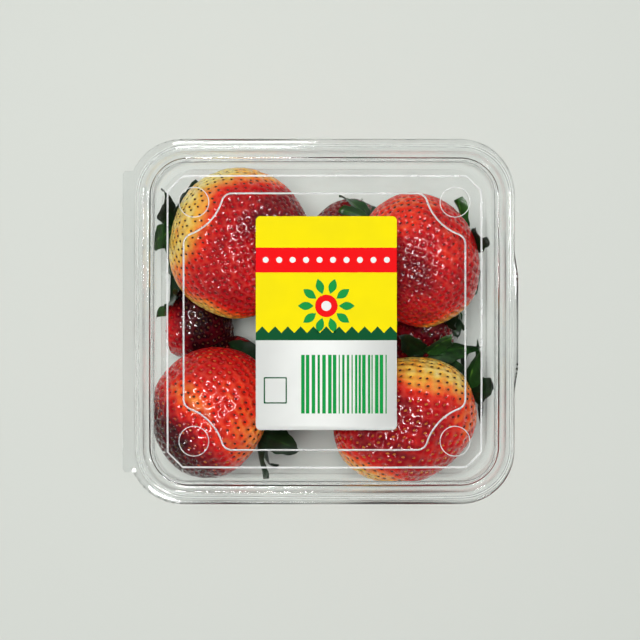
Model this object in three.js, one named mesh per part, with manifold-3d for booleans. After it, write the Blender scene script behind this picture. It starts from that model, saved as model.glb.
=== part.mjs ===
// Clear hinged punnet of strawberries, shut, in millimetres with +Z up. It stands on z = 0, +X is the
// side of the opening tab and -X the side of the hinge. The origin is under the middle of the whole
// pack. The tub and the lid are thin shells of one wall thickness, drawn by a centre line that is
// carried round a rounded rectangle.
import * as THREE from 'three';
import { mergeVertices } from 'three/addons/utils/BufferGeometryUtils.js';
import Module from 'manifold-3d';

const wasm = await Module();
wasm.setup();

// Shell
const WALL = 0.6;
const GAP = 0.3;
const CENTRE_X = 1.35;
const MOUTH_X = 55.9;
const MOUTH_Y = 52.5;
const MOUTH_RADIUS = 12.5;
const LEAST_RADIUS = 2;
const TUB_CORNER_RATE = 0.5;
const LID_CORNER_RATE = 0.95;
const CORNER_STEPS = 6;
const MERGE = 1e-4;

// Heights of the middle of the wall
const FLOOR_Z = WALL / 2;
const FLOOR_RIB_Z = 1.9;
const SHOULDER_Z = 34.5;
const RIM_Z = 41.7;
const BEAD_Z = 43.4;
const SHELF_Z = 60.2;
const CHAMFER_FROM_Z = 50;
const CHAMFER_TO_Z = SHELF_Z - 1;
const NO_CHAMFER_Z = 1000;

// Distances outwards from the mouth: edge of the free floor, then the rim
const FLOOR_EDGE_IN = -8.4;
const LEDGE_IN = -1.1;
const BEAD_IN = 0.8;
const BEAD_TOP_IN = 1.6;
const BEAD_TOP_OUT = 2.6;
const BEAD_OUT = 3.6;
const LIP_OUT = 4.8;
const LIP_EXTRA = { left: 1.4, right: -0.4, ends: 0.6 };

// Hinge strip and opening tab
const HINGE_X = -63.05;
const STRIP_EDGE_X = HINGE_X + GAP / 2;
const STRIP_HALF = 46.8;
const STRIP_EAR = 0.9;
const STRIP_ROOT = 2.3;
const TAB_EDGE_X = -STRIP_EDGE_X;
const TAB_HALF = 24;
const TAB_FLAT_HALF = 13;
const JOIN = 0.4;

// Lid top: shelf, raised island with scooped corners, round vents
const SHELF_IN = -7.9;
const ISLAND_X = 42.5;
const ISLAND_Y = 38.7;
const ISLAND_RISE = 1.2;
const SCOOP = { x: 46.3, y: 41.4, radius: 16.15, fillet: 3, steps: 6, filletSteps: 3 };
const VENT = { x: 39.6, y: 36.25, radius: 4.4, height: 6, sides: 20 };

// Label
const LABEL = { x: 1.9, y: -0.45, width: 42.6, length: 64.6, radius: 1.4, thick: 0.2, glue: 0.05 };
const LABEL_CORNER_STEPS = 4;

// Berries: middle, direction from the leaves to the tip, half length, half width, half height, taper
// towards the tip, number of leaves and their length, turn of the crown about the stalk, how far the
// leaves lean back from the berry at the stalk, and how much further back they curl. The first five
// lie on the rest, and the fifth is under the label.
const BERRIES = [
  {
    at: [-26.2, 25.3, 34.6], tip: [0.9, -0.24, 0.34], half: [24.3, 24.2, 20.0], taper: 0.06,
    leaves: 8, leaf: 19, turn: 0.5, lift: 0.2, curl: -0.5,
  },
  {
    at: [31.0, 19.6, 35.2], tip: [-0.9, -0.3, 0.4], half: [19.8, 22.1, 19.6], taper: 0.08,
    leaves: 8, leaf: 18, turn: 0.0, lift: -0.05, curl: -0.2,
  },
  {
    at: [-35.0, -29.2, 35.4], tip: [-0.86, 0.4, 0.25], half: [19.6, 21.8, 18.8], taper: 0.02,
    leaves: 7, leaf: 18, turn: -0.1, lift: 0.2, curl: 0.8,
  },
  {
    at: [28.0, -31.2, 35.0], tip: [-0.88, -0.36, 0.3], half: [25.4, 19.8, 19.0], taper: -0.05,
    leaves: 7, leaf: 18, turn: 0.3, lift: 0.3, curl: 0.6,
  },
  {
    at: [1.5, -7.0, 35.5], tip: [0.2, -0.9, 0.3], half: [17.5, 15.0, 15.5], taper: 0.14,
    leaves: 4, leaf: 13, turn: 0.4, lift: 0.1, curl: 0.4,
  },
  {
    at: [-41.6, -0.6, 18.8], tip: [0.62, -0.5, -0.5], half: [14.6, 13.2, 12.8], taper: 0.2,
    leaves: 6, leaf: 15, turn: 0.3, lift: 0.2, curl: 0.5,
  },
  {
    at: [33.0, -4.0, 15.0], tip: [-0.15, 0.55, -0.8], half: [14.5, 11.6, 12.6], taper: 0.26,
    leaves: 6, leaf: 16, turn: 0.5, lift: 0.1, curl: 0.5,
  },
  {
    at: [7.5, 27.0, 16.0], tip: [-0.6, -0.4, -0.65], half: [15.6, 12.4, 13.6], taper: 0.24,
    leaves: 6, leaf: 12, turn: 0.4, lift: 0.1, curl: -0.8,
  },
  {
    at: [-29.5, -18.0, 12.5], tip: [0.6, -0.6, -0.4], half: [13.5, 12.0, 10.8], taper: 0.22,
    leaves: 3, leaf: 12, turn: 0.0, lift: 0.0, curl: -0.6,
  },
  {
    at: [-6.5, -20.5, 17.0], tip: [0.86, -0.48, -0.15], half: [14.0, 12.0, 11.0], taper: 0.2,
    leaves: 2, leaf: 17, turn: 0.0, lift: 1.15, curl: 0.2,
  },
  {
    at: [-34.4, 34.2, 10.8], tip: [0.6, -0.5, -0.5], half: [13.4, 11.6, 9.8], taper: 0.24,
    leaves: 2, leaf: 12, turn: 0.0, lift: 0.1, curl: 0.4,
  },
  {
    at: [39.0, 17.0, 11.0], tip: [-0.3, 0.75, -0.55], half: [12.6, 11.6, 9.8], taper: 0.24,
    leaves: 3, leaf: 17, turn: 0.4, lift: 1.2, curl: 0.2,
  },
  {
    at: [-36.0, -34.6, 10.6], tip: [0.8, -0.5, 0.1], half: [13.8, 11.4, 9.6], taper: 0.24,
    leaves: 0, leaf: 8, turn: 0.0, lift: 0.2, curl: 0.4,
  },
  {
    at: [34.6, -34.4, 10.6], tip: [-0.9, -0.2, 0.1], half: [14.4, 11.4, 9.6], taper: 0.24,
    leaves: 0, leaf: 8, turn: 0.0, lift: 0.2, curl: 0.4,
  },
];
// Middle of the heap, out of sight between the berries, which holds them together.
const CORE = { at: [0, -4, 16], half: [20, 20, 9], sides: 12, rings: 8 };
const LARGE_HALF = 17;
const LARGE_SIDES = 14;
const SMALL_SIDES = 12;
const BERRY_RINGS = 9;
const DIMPLE = { depth: 0.12, width: 0.45 };

// Leaves: thickness, and width and width at the stalk as shares of the length. The half width is a sine
// of the way along, pulled towards the stalk and made fuller. The edges wave, more towards the tip. The
// crown starts out from the stalk's middle, in the dimple. From leaf to leaf, length, turn and lean
// vary by a share, at a pace of their own.
const LEAF_THICK = 0.7;
const LEAF_WIDTH = 0.42;
const LEAF_START = 0.12;
const LEAF_OUTLINE = { end: 0.96, pull: 0.75, fullness: 0.85 };
const LEAF_WAVE = { height: 0.07, pace: 5.5, shift: 1.7, least: 0.3 };
const LEAF_ROOT = { out: 0.8, in: 1.6 };
const LEAF_UNEVEN = { length: 0.14, turn: 0.3, lift: 0.25 };
const LEAF_PACE = { length: 5, turn: 7, lift: 4 };
const LEAF_STEPS = { across: 2, along: 3 };

const MATERIALS = {
  clear: new THREE.MeshStandardMaterial({ color: 0xdfe6e2, roughness: 0.08, metalness: 0 }),
  print: new THREE.MeshStandardMaterial({ color: 0xf2e21c, roughness: 0.35, metalness: 0 }),
  fruit: new THREE.MeshStandardMaterial({ color: 0xb81f1a, roughness: 0.35, metalness: 0 }),
};

// Solid from a geometry: shared vertices merged, empty triangles dropped, faces pointing out.
function toSolid(geometry) {
  const bare = geometry.clone();
  bare.deleteAttribute('normal');
  bare.deleteAttribute('uv');
  const merged = mergeVertices(bare, MERGE);
  const place = merged.attributes.position;
  const corner = (index) => new THREE.Vector3().fromBufferAttribute(place, index);
  const triangles = [];
  let volume = 0;
  for (let i = 0; i < merged.index.count; i += 3) {
    const [a, b, c] = [0, 1, 2].map((k) => merged.index.getX(i + k));
    if (a === b || b === c || c === a) continue;
    triangles.push([a, b, c]);
    volume += corner(a).dot(corner(b).cross(corner(c)));
  }
  const outward = volume > 0 ? triangles : triangles.map(([a, b, c]) => [a, c, b]);
  const vertProperties = new Float32Array(place.array);
  const triVerts = new Uint32Array(outward.flat());
  return new wasm.Manifold(new wasm.Mesh({ numProp: 3, vertProperties, triVerts }));
}

function toGeometry(solid) {
  const mesh = solid.getMesh();
  const geometry = new THREE.BufferGeometry();
  geometry.setAttribute('position', new THREE.BufferAttribute(new Float32Array(mesh.vertProperties), 3));
  geometry.setIndex(new THREE.BufferAttribute(new Uint32Array(mesh.triVerts), 1));
  geometry.computeVertexNormals();
  return geometry;
}

// A line moved sideways by a distance, to its left, with mitred corners.
function offsetLine(points, distance) {
  const normals = points.slice(1).map(([x, z], i) => {
    const run = new THREE.Vector2(x - points[i][0], z - points[i][1]).normalize();
    return new THREE.Vector2(-run.y, run.x);
  });
  return points.map(([x, z], i) => {
    const before = normals[Math.max(i - 1, 0)];
    const after = normals[Math.min(i, normals.length - 1)];
    const mitre = before.clone().add(after).multiplyScalar(distance / (1 + before.dot(after)));
    return [x + mitre.x, z + mitre.y];
  });
}

// Points round a rectangle of half sizes a and b with corners of the given radius, which turn into
// straight cuts as flat goes to 1. lip, from 0 to 1, adds the rim's uneven widths.
function outline(a, b, radius, flat, lip) {
  const points = [];
  for (let quarter = 0; quarter < 4; quarter += 1) {
    const start = (quarter * Math.PI) / 2;
    const [sx, sy] = [[1, 1], [-1, 1], [-1, -1], [1, -1]][quarter];
    for (let step = 0; step <= CORNER_STEPS; step += 1) {
      const t = step / CORNER_STEPS;
      const turn = start + (t * Math.PI) / 2;
      const cutX = (1 - t) * Math.cos(start) - t * Math.sin(start);
      const cutY = (1 - t) * Math.sin(start) + t * Math.cos(start);
      const cornerX = THREE.MathUtils.lerp(Math.cos(turn), cutX, flat);
      const cornerY = THREE.MathUtils.lerp(Math.sin(turn), cutY, flat);
      const extraX = sx > 0 ? LIP_EXTRA.right : LIP_EXTRA.left;
      const x = sx * (a - radius + lip * extraX) + radius * cornerX;
      const y = sy * (b - radius + lip * LIP_EXTRA.ends) + radius * cornerY;
      points.push([x, y]);
    }
  }
  return points;
}

// Closed body of a profile of [distance out from the mouth, height] points that starts and ends on
// the axis. It is turned on a lathe, and each turned section is then pushed out to the outline. Inside
// the mouth the corner radius shrinks at the given rate, and above chamferZ the corners turn into cuts.
function shellSolid(profile, radiusRate, chamferZ) {
  const turned = profile.map(([d, z]) => new THREE.Vector2(Math.max(MOUTH_Y + d, 0), z));
  const columns = 4 * (CORNER_STEPS + 1);
  const geometry = new THREE.LatheGeometry(turned, columns);
  const place = geometry.attributes.position;
  profile.forEach(([d, z], row) => {
    const b = turned[row].x;
    const a = b > 0 ? b + MOUTH_X - MOUTH_Y : 0;
    const rounding = MOUTH_RADIUS + (d < 0 ? radiusRate : 1) * d;
    const radius = b > 0 ? Math.min(Math.max(rounding, LEAST_RADIUS), b) : 0;
    const flat = THREE.MathUtils.clamp((z - chamferZ) / (CHAMFER_TO_Z - CHAMFER_FROM_Z), 0, 1);
    const lip = THREE.MathUtils.clamp((d - BEAD_OUT) / (LIP_OUT - BEAD_OUT), 0, 1);
    const ring = outline(a, b, radius, flat, b > 0 ? lip : 0);
    for (let column = 0; column <= columns; column += 1) {
      const [x, y] = ring[column % columns];
      place.setXYZ(column * profile.length + row, x, y, z);
    }
  });
  return toSolid(geometry);
}

// Shell of one wall thickness about a centre line that starts on the axis.
function wallSolid(line, radiusRate, chamferZ) {
  const onAxis = (points) => points.map(([d, z], i) => [i === 0 ? -MOUTH_Y : d, z]);
  const under = onAxis(offsetLine(line, -WALL / 2));
  const over = onAxis(offsetLine(line, WALL / 2));
  return shellSolid([...under, ...over.reverse()], radiusRate, chamferZ);
}

function extrudeSolid(points, depth, z) {
  const shape = new THREE.Shape(points.map(([x, y]) => new THREE.Vector2(x, y)));
  const geometry = new THREE.ExtrudeGeometry(shape, { depth, bevelEnabled: false });
  geometry.translate(0, 0, z);
  return toSolid(geometry);
}

const RIM_LINE = [
  [BEAD_IN, RIM_Z], [BEAD_TOP_IN, BEAD_Z], [BEAD_TOP_OUT, BEAD_Z], [BEAD_OUT, RIM_Z], [LIP_OUT, RIM_Z],
];

const TUB_WALL = [
  [-MOUTH_Y, FLOOR_Z], [-24, FLOOR_Z], [-22.5, FLOOR_RIB_Z], [-16.5, FLOOR_RIB_Z], [-15, FLOOR_Z],
  [-10.5, FLOOR_Z], [-8.2, 1.4], [-7, 4.4], [-3.2, SHOULDER_Z - 1], [-1.4, SHOULDER_Z + 1],
  [-0.4, RIM_Z],
];

const TUB_LINE = [...TUB_WALL, ...RIM_LINE];

const LID_RIM_LINE = offsetLine([[LEDGE_IN, RIM_Z], ...RIM_LINE], WALL + GAP);

const LID_WALL = [
  [-MOUTH_Y, SHELF_Z], [SHELF_IN, SHELF_Z], [SHELF_IN + 0.8, SHELF_Z - 0.8], [-2.8, 47.2], [-1.7, 46.2],
];

const LID_LINE = [...LID_WALL, ...LID_RIM_LINE];

// Strip along the hinge and tab for the finger, both as thick as the wall.
function edgePieces(middleZ) {
  const lipLeft = -(MOUTH_X + LIP_OUT + LIP_EXTRA.left);
  const lipRight = MOUTH_X + LIP_OUT + LIP_EXTRA.right;
  const stripEdge = STRIP_EDGE_X - CENTRE_X;
  const tabEdge = TAB_EDGE_X - CENTRE_X;
  const strip = [
    [lipLeft + STRIP_ROOT, -STRIP_HALF - STRIP_EAR], [lipLeft + STRIP_ROOT, STRIP_HALF + STRIP_EAR],
    [lipLeft, STRIP_HALF + STRIP_EAR], [stripEdge, STRIP_HALF],
    [stripEdge, -STRIP_HALF], [lipLeft, -STRIP_HALF - STRIP_EAR],
  ];
  const tab = [
    [lipRight - JOIN, -TAB_HALF], [lipRight, -TAB_HALF], [tabEdge, -TAB_FLAT_HALF],
    [tabEdge, TAB_FLAT_HALF], [lipRight, TAB_HALF], [lipRight - JOIN, TAB_HALF],
  ];
  return [strip, tab].map((points) => extrudeSolid(points, WALL, middleZ - WALL / 2));
}

// Island outline: a rectangle whose corners are scooped out beside the vents, with rounded ends
// where a scoop meets a side. inset makes the outline smaller for the inner face.
function islandPoints(inset) {
  const [a, b] = [ISLAND_X - inset, ISLAND_Y - inset];
  const scoop = SCOOP.radius + inset;
  const reach = SCOOP.fillet + scoop;
  const topDy = SCOOP.y - b + SCOOP.fillet;
  const sideDx = SCOOP.x - a + SCOOP.fillet;
  const topX = SCOOP.x - Math.sqrt(reach ** 2 - topDy ** 2);
  const sideY = SCOOP.y - Math.sqrt(reach ** 2 - sideDx ** 2);
  const arc = (cx, cy, r, from, to, steps) => Array.from({ length: steps + 1 }, (_, k) => {
    const turn = from + ((to - from) * k) / steps;
    return [cx + r * Math.cos(turn), cy + r * Math.sin(turn)];
  });
  const sideTurn = Math.atan2(SCOOP.y - sideY, sideDx);
  const topTurn = Math.atan2(topDy, SCOOP.x - topX);
  const corner = [
    ...arc(a - SCOOP.fillet, sideY, SCOOP.fillet, 0, sideTurn, SCOOP.filletSteps),
    ...arc(SCOOP.x, SCOOP.y, scoop, sideTurn - Math.PI, topTurn - Math.PI, SCOOP.steps).slice(1, -1),
    ...arc(topX, b - SCOOP.fillet, SCOOP.fillet, topTurn, Math.PI / 2, SCOOP.filletSteps),
  ];
  const mirrored = corner.map(([x, y]) => [-x, y]).reverse();
  const top = [...corner, ...mirrored];
  return [...top, ...top.map(([x, y]) => [x, -y]).reverse()];
}

function ventSolid(sx, sy) {
  const geometry = new THREE.CylinderGeometry(VENT.radius, VENT.radius, VENT.height, VENT.sides);
  geometry.rotateX(Math.PI / 2);
  geometry.translate(sx * VENT.x, sy * VENT.y, SHELF_Z);
  return toSolid(geometry);
}

function tubSolid() {
  const shell = wallSolid(TUB_LINE, TUB_CORNER_RATE, NO_CHAMFER_Z);
  return edgePieces(RIM_Z).reduce((sum, piece) => sum.add(piece), shell);
}

function lidSolid() {
  const shell = wallSolid(LID_LINE, LID_CORNER_RATE, CHAMFER_FROM_Z);
  const rise = WALL + ISLAND_RISE;
  const raised = extrudeSolid(islandPoints(0), rise, SHELF_Z - WALL / 2);
  const hollow = extrudeSolid(islandPoints(WALL), rise, SHELF_Z - WALL / 2 - WALL);
  const pieces = [raised, ...edgePieces(RIM_Z + WALL + GAP)];
  const closed = pieces.reduce((sum, piece) => sum.add(piece), shell).subtract(hollow);
  const corners = [[1, 1], [-1, 1], [-1, -1], [1, -1]];
  return corners.reduce((rest, [sx, sy]) => rest.subtract(ventSolid(sx, sy)), closed);
}

function labelSolid() {
  const { x, y, width, length, radius, thick, glue } = LABEL;
  const [a, b] = [width / 2, length / 2];
  const shape = new THREE.Shape();
  shape.moveTo(a, -b + radius);
  shape.lineTo(a, b - radius);
  shape.absarc(a - radius, b - radius, radius, 0, Math.PI / 2);
  shape.absarc(-a + radius, b - radius, radius, Math.PI / 2, Math.PI);
  shape.absarc(-a + radius, -b + radius, radius, Math.PI, 1.5 * Math.PI);
  shape.absarc(a - radius, -b + radius, radius, 1.5 * Math.PI, 2 * Math.PI);
  const settings = { depth: thick, bevelEnabled: false, curveSegments: LABEL_CORNER_STEPS };
  const geometry = new THREE.ExtrudeGeometry(shape, settings);
  geometry.translate(x, y, SHELF_Z + WALL / 2 + ISLAND_RISE + glue);
  return toSolid(geometry);
}

// Room inside the shut pack, a gap clear of both shells, which trims what would touch them.
function roomSolid() {
  const clear = WALL / 2 + GAP;
  const floor = FLOOR_RIB_Z + clear;
  const lower = offsetLine(TUB_WALL, clear).slice(0, -1);
  const upper = offsetLine([...LID_WALL].reverse(), clear).slice(0, -1);
  const walls = lower.filter(([, z]) => z > floor);
  const profile = [
    [-MOUTH_Y, floor], [FLOOR_EDGE_IN, floor], ...walls, ...upper, [-MOUTH_Y, SHELF_Z - clear],
  ];
  const room = shellSolid(profile, TUB_CORNER_RATE, CHAMFER_FROM_Z);
  return room.translate([CENTRE_X, 0, 0]);
}

// Turn that takes the +Y axis to the tip and keeps one side as level as it can be.
function berryFrame(berry) {
  const tip = new THREE.Vector3(...berry.tip).normalize();
  const side = new THREE.Vector3(0, 0, 1).cross(tip).normalize();
  const top = tip.clone().cross(side);
  return new THREE.Matrix4().makeBasis(side, tip, top).setPosition(...berry.at);
}

// Egg shape turned about the line from leaves to tip: the radius is sin t, fuller at the leaves,
// with a shallow dimple under them.
function berrySolid(berry) {
  const [length, width, height] = berry.half;
  const profile = Array.from({ length: BERRY_RINGS + 1 }, (_, k) => {
    const t = (Math.PI * k) / BERRY_RINGS;
    const radius = Math.sin(t) * (1 + berry.taper * Math.cos(t));
    const dimple = DIMPLE.depth * Math.exp(-((t / DIMPLE.width) ** 2));
    return new THREE.Vector2(k === 0 || k === BERRY_RINGS ? 0 : radius, -Math.cos(t) + dimple);
  });
  const geometry = new THREE.LatheGeometry(profile, length > LARGE_HALF ? LARGE_SIDES : SMALL_SIDES);
  geometry.scale(width, length, height);
  geometry.applyMatrix4(berryFrame(berry));
  return toSolid(geometry);
}

// One leaf of the crown: a thin box bent along an arc that leans back from the berry, widest a third
// of the way along and waved across, turned to its place round the stalk.
function leafSolid(berry, index) {
  const geometry = new THREE.BoxGeometry(1, 1, LEAF_THICK, LEAF_STEPS.across, LEAF_STEPS.along);
  const place = geometry.attributes.position;
  const size = berry.leaf * (1 + LEAF_UNEVEN.length * Math.sin(LEAF_PACE.length * index));
  const start = berry.lift + LEAF_UNEVEN.lift * Math.sin(LEAF_PACE.lift * index);
  for (let i = 0; i < place.count; i += 1) {
    const t = place.getY(i) + 1 / 2;
    const across = place.getX(i) * 2;
    const way = (LEAF_OUTLINE.end * t) ** LEAF_OUTLINE.pull;
    const width = LEAF_START + Math.sin(Math.PI * way) ** LEAF_OUTLINE.fullness;
    const bend = start + berry.curl * t;
    const ripple = Math.sin(LEAF_WAVE.pace * t + LEAF_WAVE.shift * index);
    const wave = LEAF_WAVE.height * size * ripple * across * (LEAF_WAVE.least + t);
    const lean = place.getZ(i) + wave;
    const run = (size * (Math.sin(bend) - Math.sin(start))) / berry.curl;
    const rise = (size * (Math.cos(start) - Math.cos(bend))) / berry.curl;
    const out = LEAF_ROOT.out + run + lean * Math.sin(bend);
    const along = LEAF_ROOT.in - berry.half[0] - rise + lean * Math.cos(bend);
    place.setXYZ(i, (size * LEAF_WIDTH * width * across) / 2, along, out);
  }
  const spread = index + LEAF_UNEVEN.turn * Math.sin(LEAF_PACE.turn * index);
  geometry.rotateY(berry.turn + (2 * Math.PI * spread) / berry.leaves);
  geometry.applyMatrix4(berryFrame(berry));
  return toSolid(geometry);
}

function coreSolid() {
  const geometry = new THREE.SphereGeometry(1, CORE.sides, CORE.rings);
  geometry.rotateX(Math.PI / 2);
  geometry.scale(...CORE.half);
  geometry.translate(...CORE.at);
  return toSolid(geometry);
}

function berriesSolid() {
  const pieces = BERRIES.flatMap((berry) => [
    berrySolid(berry),
    ...Array.from({ length: berry.leaves }, (_, index) => leafSolid(berry, index)),
  ]);
  const heap = pieces.reduce((sum, piece) => sum.add(piece), coreSolid()).intersect(roomSolid());
  const bodies = heap.decompose().sort((p, q) => q.volume() - p.volume());
  return bodies[0];
}

function part(name, solid, material, x) {
  const mesh = new THREE.Mesh(toGeometry(solid), material);
  mesh.name = name;
  mesh.position.x = x;
  return mesh;
}

const group = new THREE.Group();
group.add(
  part('tub', tubSolid(), MATERIALS.clear, CENTRE_X),
  part('lid', lidSolid(), MATERIALS.clear, CENTRE_X),
  part('label', labelSolid(), MATERIALS.print, 0),
  part('berries', berriesSolid(), MATERIALS.fruit, 0),
);

export default group;
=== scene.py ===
"""Looks of a clear hinged punnet of strawberries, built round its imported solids.

Shapes are worked out in millimetres in the frame's axes (+X from the hinge to the opening tab, +Z up)
and put into meshes in metres.
"""

import math

import bmesh
import bpy
import numpy as np
from bpy.props import FloatProperty, FloatVectorProperty, IntProperty, PointerProperty
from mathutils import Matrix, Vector
from mathutils.geometry import delaunay_2d_cdt


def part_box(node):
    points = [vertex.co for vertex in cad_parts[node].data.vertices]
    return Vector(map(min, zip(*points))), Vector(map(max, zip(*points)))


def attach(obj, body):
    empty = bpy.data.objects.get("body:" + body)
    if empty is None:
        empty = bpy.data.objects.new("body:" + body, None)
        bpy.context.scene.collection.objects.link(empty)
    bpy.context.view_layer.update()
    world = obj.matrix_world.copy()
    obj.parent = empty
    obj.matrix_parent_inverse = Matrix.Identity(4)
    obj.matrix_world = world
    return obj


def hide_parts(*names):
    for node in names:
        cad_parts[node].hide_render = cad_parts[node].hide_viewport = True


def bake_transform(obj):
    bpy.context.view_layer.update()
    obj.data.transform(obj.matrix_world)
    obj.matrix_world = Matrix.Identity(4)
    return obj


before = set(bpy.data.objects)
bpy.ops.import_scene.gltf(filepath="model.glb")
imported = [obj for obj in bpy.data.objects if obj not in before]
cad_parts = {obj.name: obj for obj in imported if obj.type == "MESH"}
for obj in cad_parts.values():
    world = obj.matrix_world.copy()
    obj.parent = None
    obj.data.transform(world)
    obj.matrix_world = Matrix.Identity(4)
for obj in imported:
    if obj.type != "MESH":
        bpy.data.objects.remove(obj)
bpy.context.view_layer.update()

bl_info = {
    "name": "Strawberry punnet",
    "version": (1, 0, 0),
    "blender": (4, 5, 0),
    "location": "View3D > Sidebar > Punnet",
    "description": "Clear hinged punnet with a printed label and strawberries",
    "category": "Add Mesh",
}

MM = 0.001

# Shell, in millimetres: the solids' own driving sizes
WALL = 0.6
GAP = 0.3
CENTRE_X = 1.35
MOUTH = np.array((55.9, 52.5))
MOUTH_RADIUS = 12.5
FLOOR_Z = 0.3
FLOOR_RIB_Z = 1.9
SHOULDER_Z = 34.5
RIM_Z = 41.7
BEAD_Z = 43.4
SHELF_Z = 60.2
LIP_OUT = 4.8
LIP_EXTRA = {"left": 1.4, "right": -0.4, "ends": 0.6}
FLANGE_IN = 4.15
RIM_FROM = -2.4

# Hinge strip and opening tab; the fold of film between the two strips stands out from them by HINGE_OUT
STRIP_X = -62.45
STRIP_HALF = 46.8
STRIP_EAR = 0.9
EAR_WIDTH = 0.6
HINGE_OUT = 0.35
HINGE_STEPS = (13, 60)
TAB_X = 62.85
TAB_HALF = 24.0
TAB_FLAT_HALF = 13.0
TAB_STEPS = 20

# Lid top; ISLAND_STEP is how far out from the island's edge its step starts, falls, lands and ends
SHELF_IN = -8.6
SHELF_EDGE = -8.2
CHAMFER_Z = (50.0, SHELF_Z - 1)
ISLAND = np.array((42.5, 38.7))
ISLAND_RISE = 1.2
ISLAND_STEP = (-0.06, 0.04, 0.34, 0.44)
STEP_ROUND = 0.08
STEP_LONGEST = 0.3
SCOOP = np.array((46.3, 41.4))
SCOOP_RADIUS = 16.15
SCOOP_FILLET = 3.0
VENT = np.array((39.6, 36.25))
VENT_RADIUS = 4.4
VENT_LIP = 0.24

# Forming of a shell: how far its profile's corners are rounded, the longest step along the profile, and
# how fast the corner radius of its plan shrinks inwards, down to the least one
TUB_FORM = {"round": 0.7, "step": 2.4, "shrink": 0.5}
LID_FORM = {"round": 0.55, "step": 1.6, "shrink": 0.95}
LEAST_RADIUS = 2

# Columns round the shells: steps in each corner and along each side
CORNER_STEPS = 24
SIDE_STEPS = 64
SIDE_BOW = 0.12

# Free room inside the shut pack: clear of the walls, its corner radius, and its edge at the rim's height
ROOM_CLEAR = WALL / 2 + GAP
ROOM_RADIUS = 9.0
ROOM_AT_RIM = -1.2

# Kinds of clear film: refraction and glossy face. The bends of the rim gather the light like glass.
FILMS = {"clear_film": (1.004, 0.03), "tub_film": (1.05, 0.12), "rim_film": (1.35, 0.04)}

# Camera over the middle of the pack
CAMERA_AT = (0.0, 0.5, 442.0)
CAMERA_LENS = 70.8
SENSOR_WIDTH = 36

# Square lamps round the pack, clear of the zenith, that show only as glints: turn, distance from the
# middle, size and power. A soft light overhead lights everything and is mirrored nowhere.
LAMPS = ((1.85, 0.36, 0.17, 14.0), (0.2, 0.5, 0.14, 9.0), (4.1, 0.44, 0.14, 8.0))
LAMP_Z = 0.92
OVERHEAD = {"at": (-0.08, 0.1, 1.15), "size": 0.42, "power": 13.6}
LIGHTS_AIM = (0, 0, 0.03)

# Sky by the height of the way looked, from 0 at the horizon to 1 at the zenith
SKY = (
    (0.0, (0.2, 0.203, 0.2, 1)), (0.3, (0.24, 0.243, 0.246, 1)), (0.55, (0.14, 0.143, 0.146, 1)),
    (0.75, (0.04, 0.041, 0.042, 1)), (0.9, (0.01, 0.01, 0.01, 1)),
)
FLOOR_HALF = 4000.0

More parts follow.
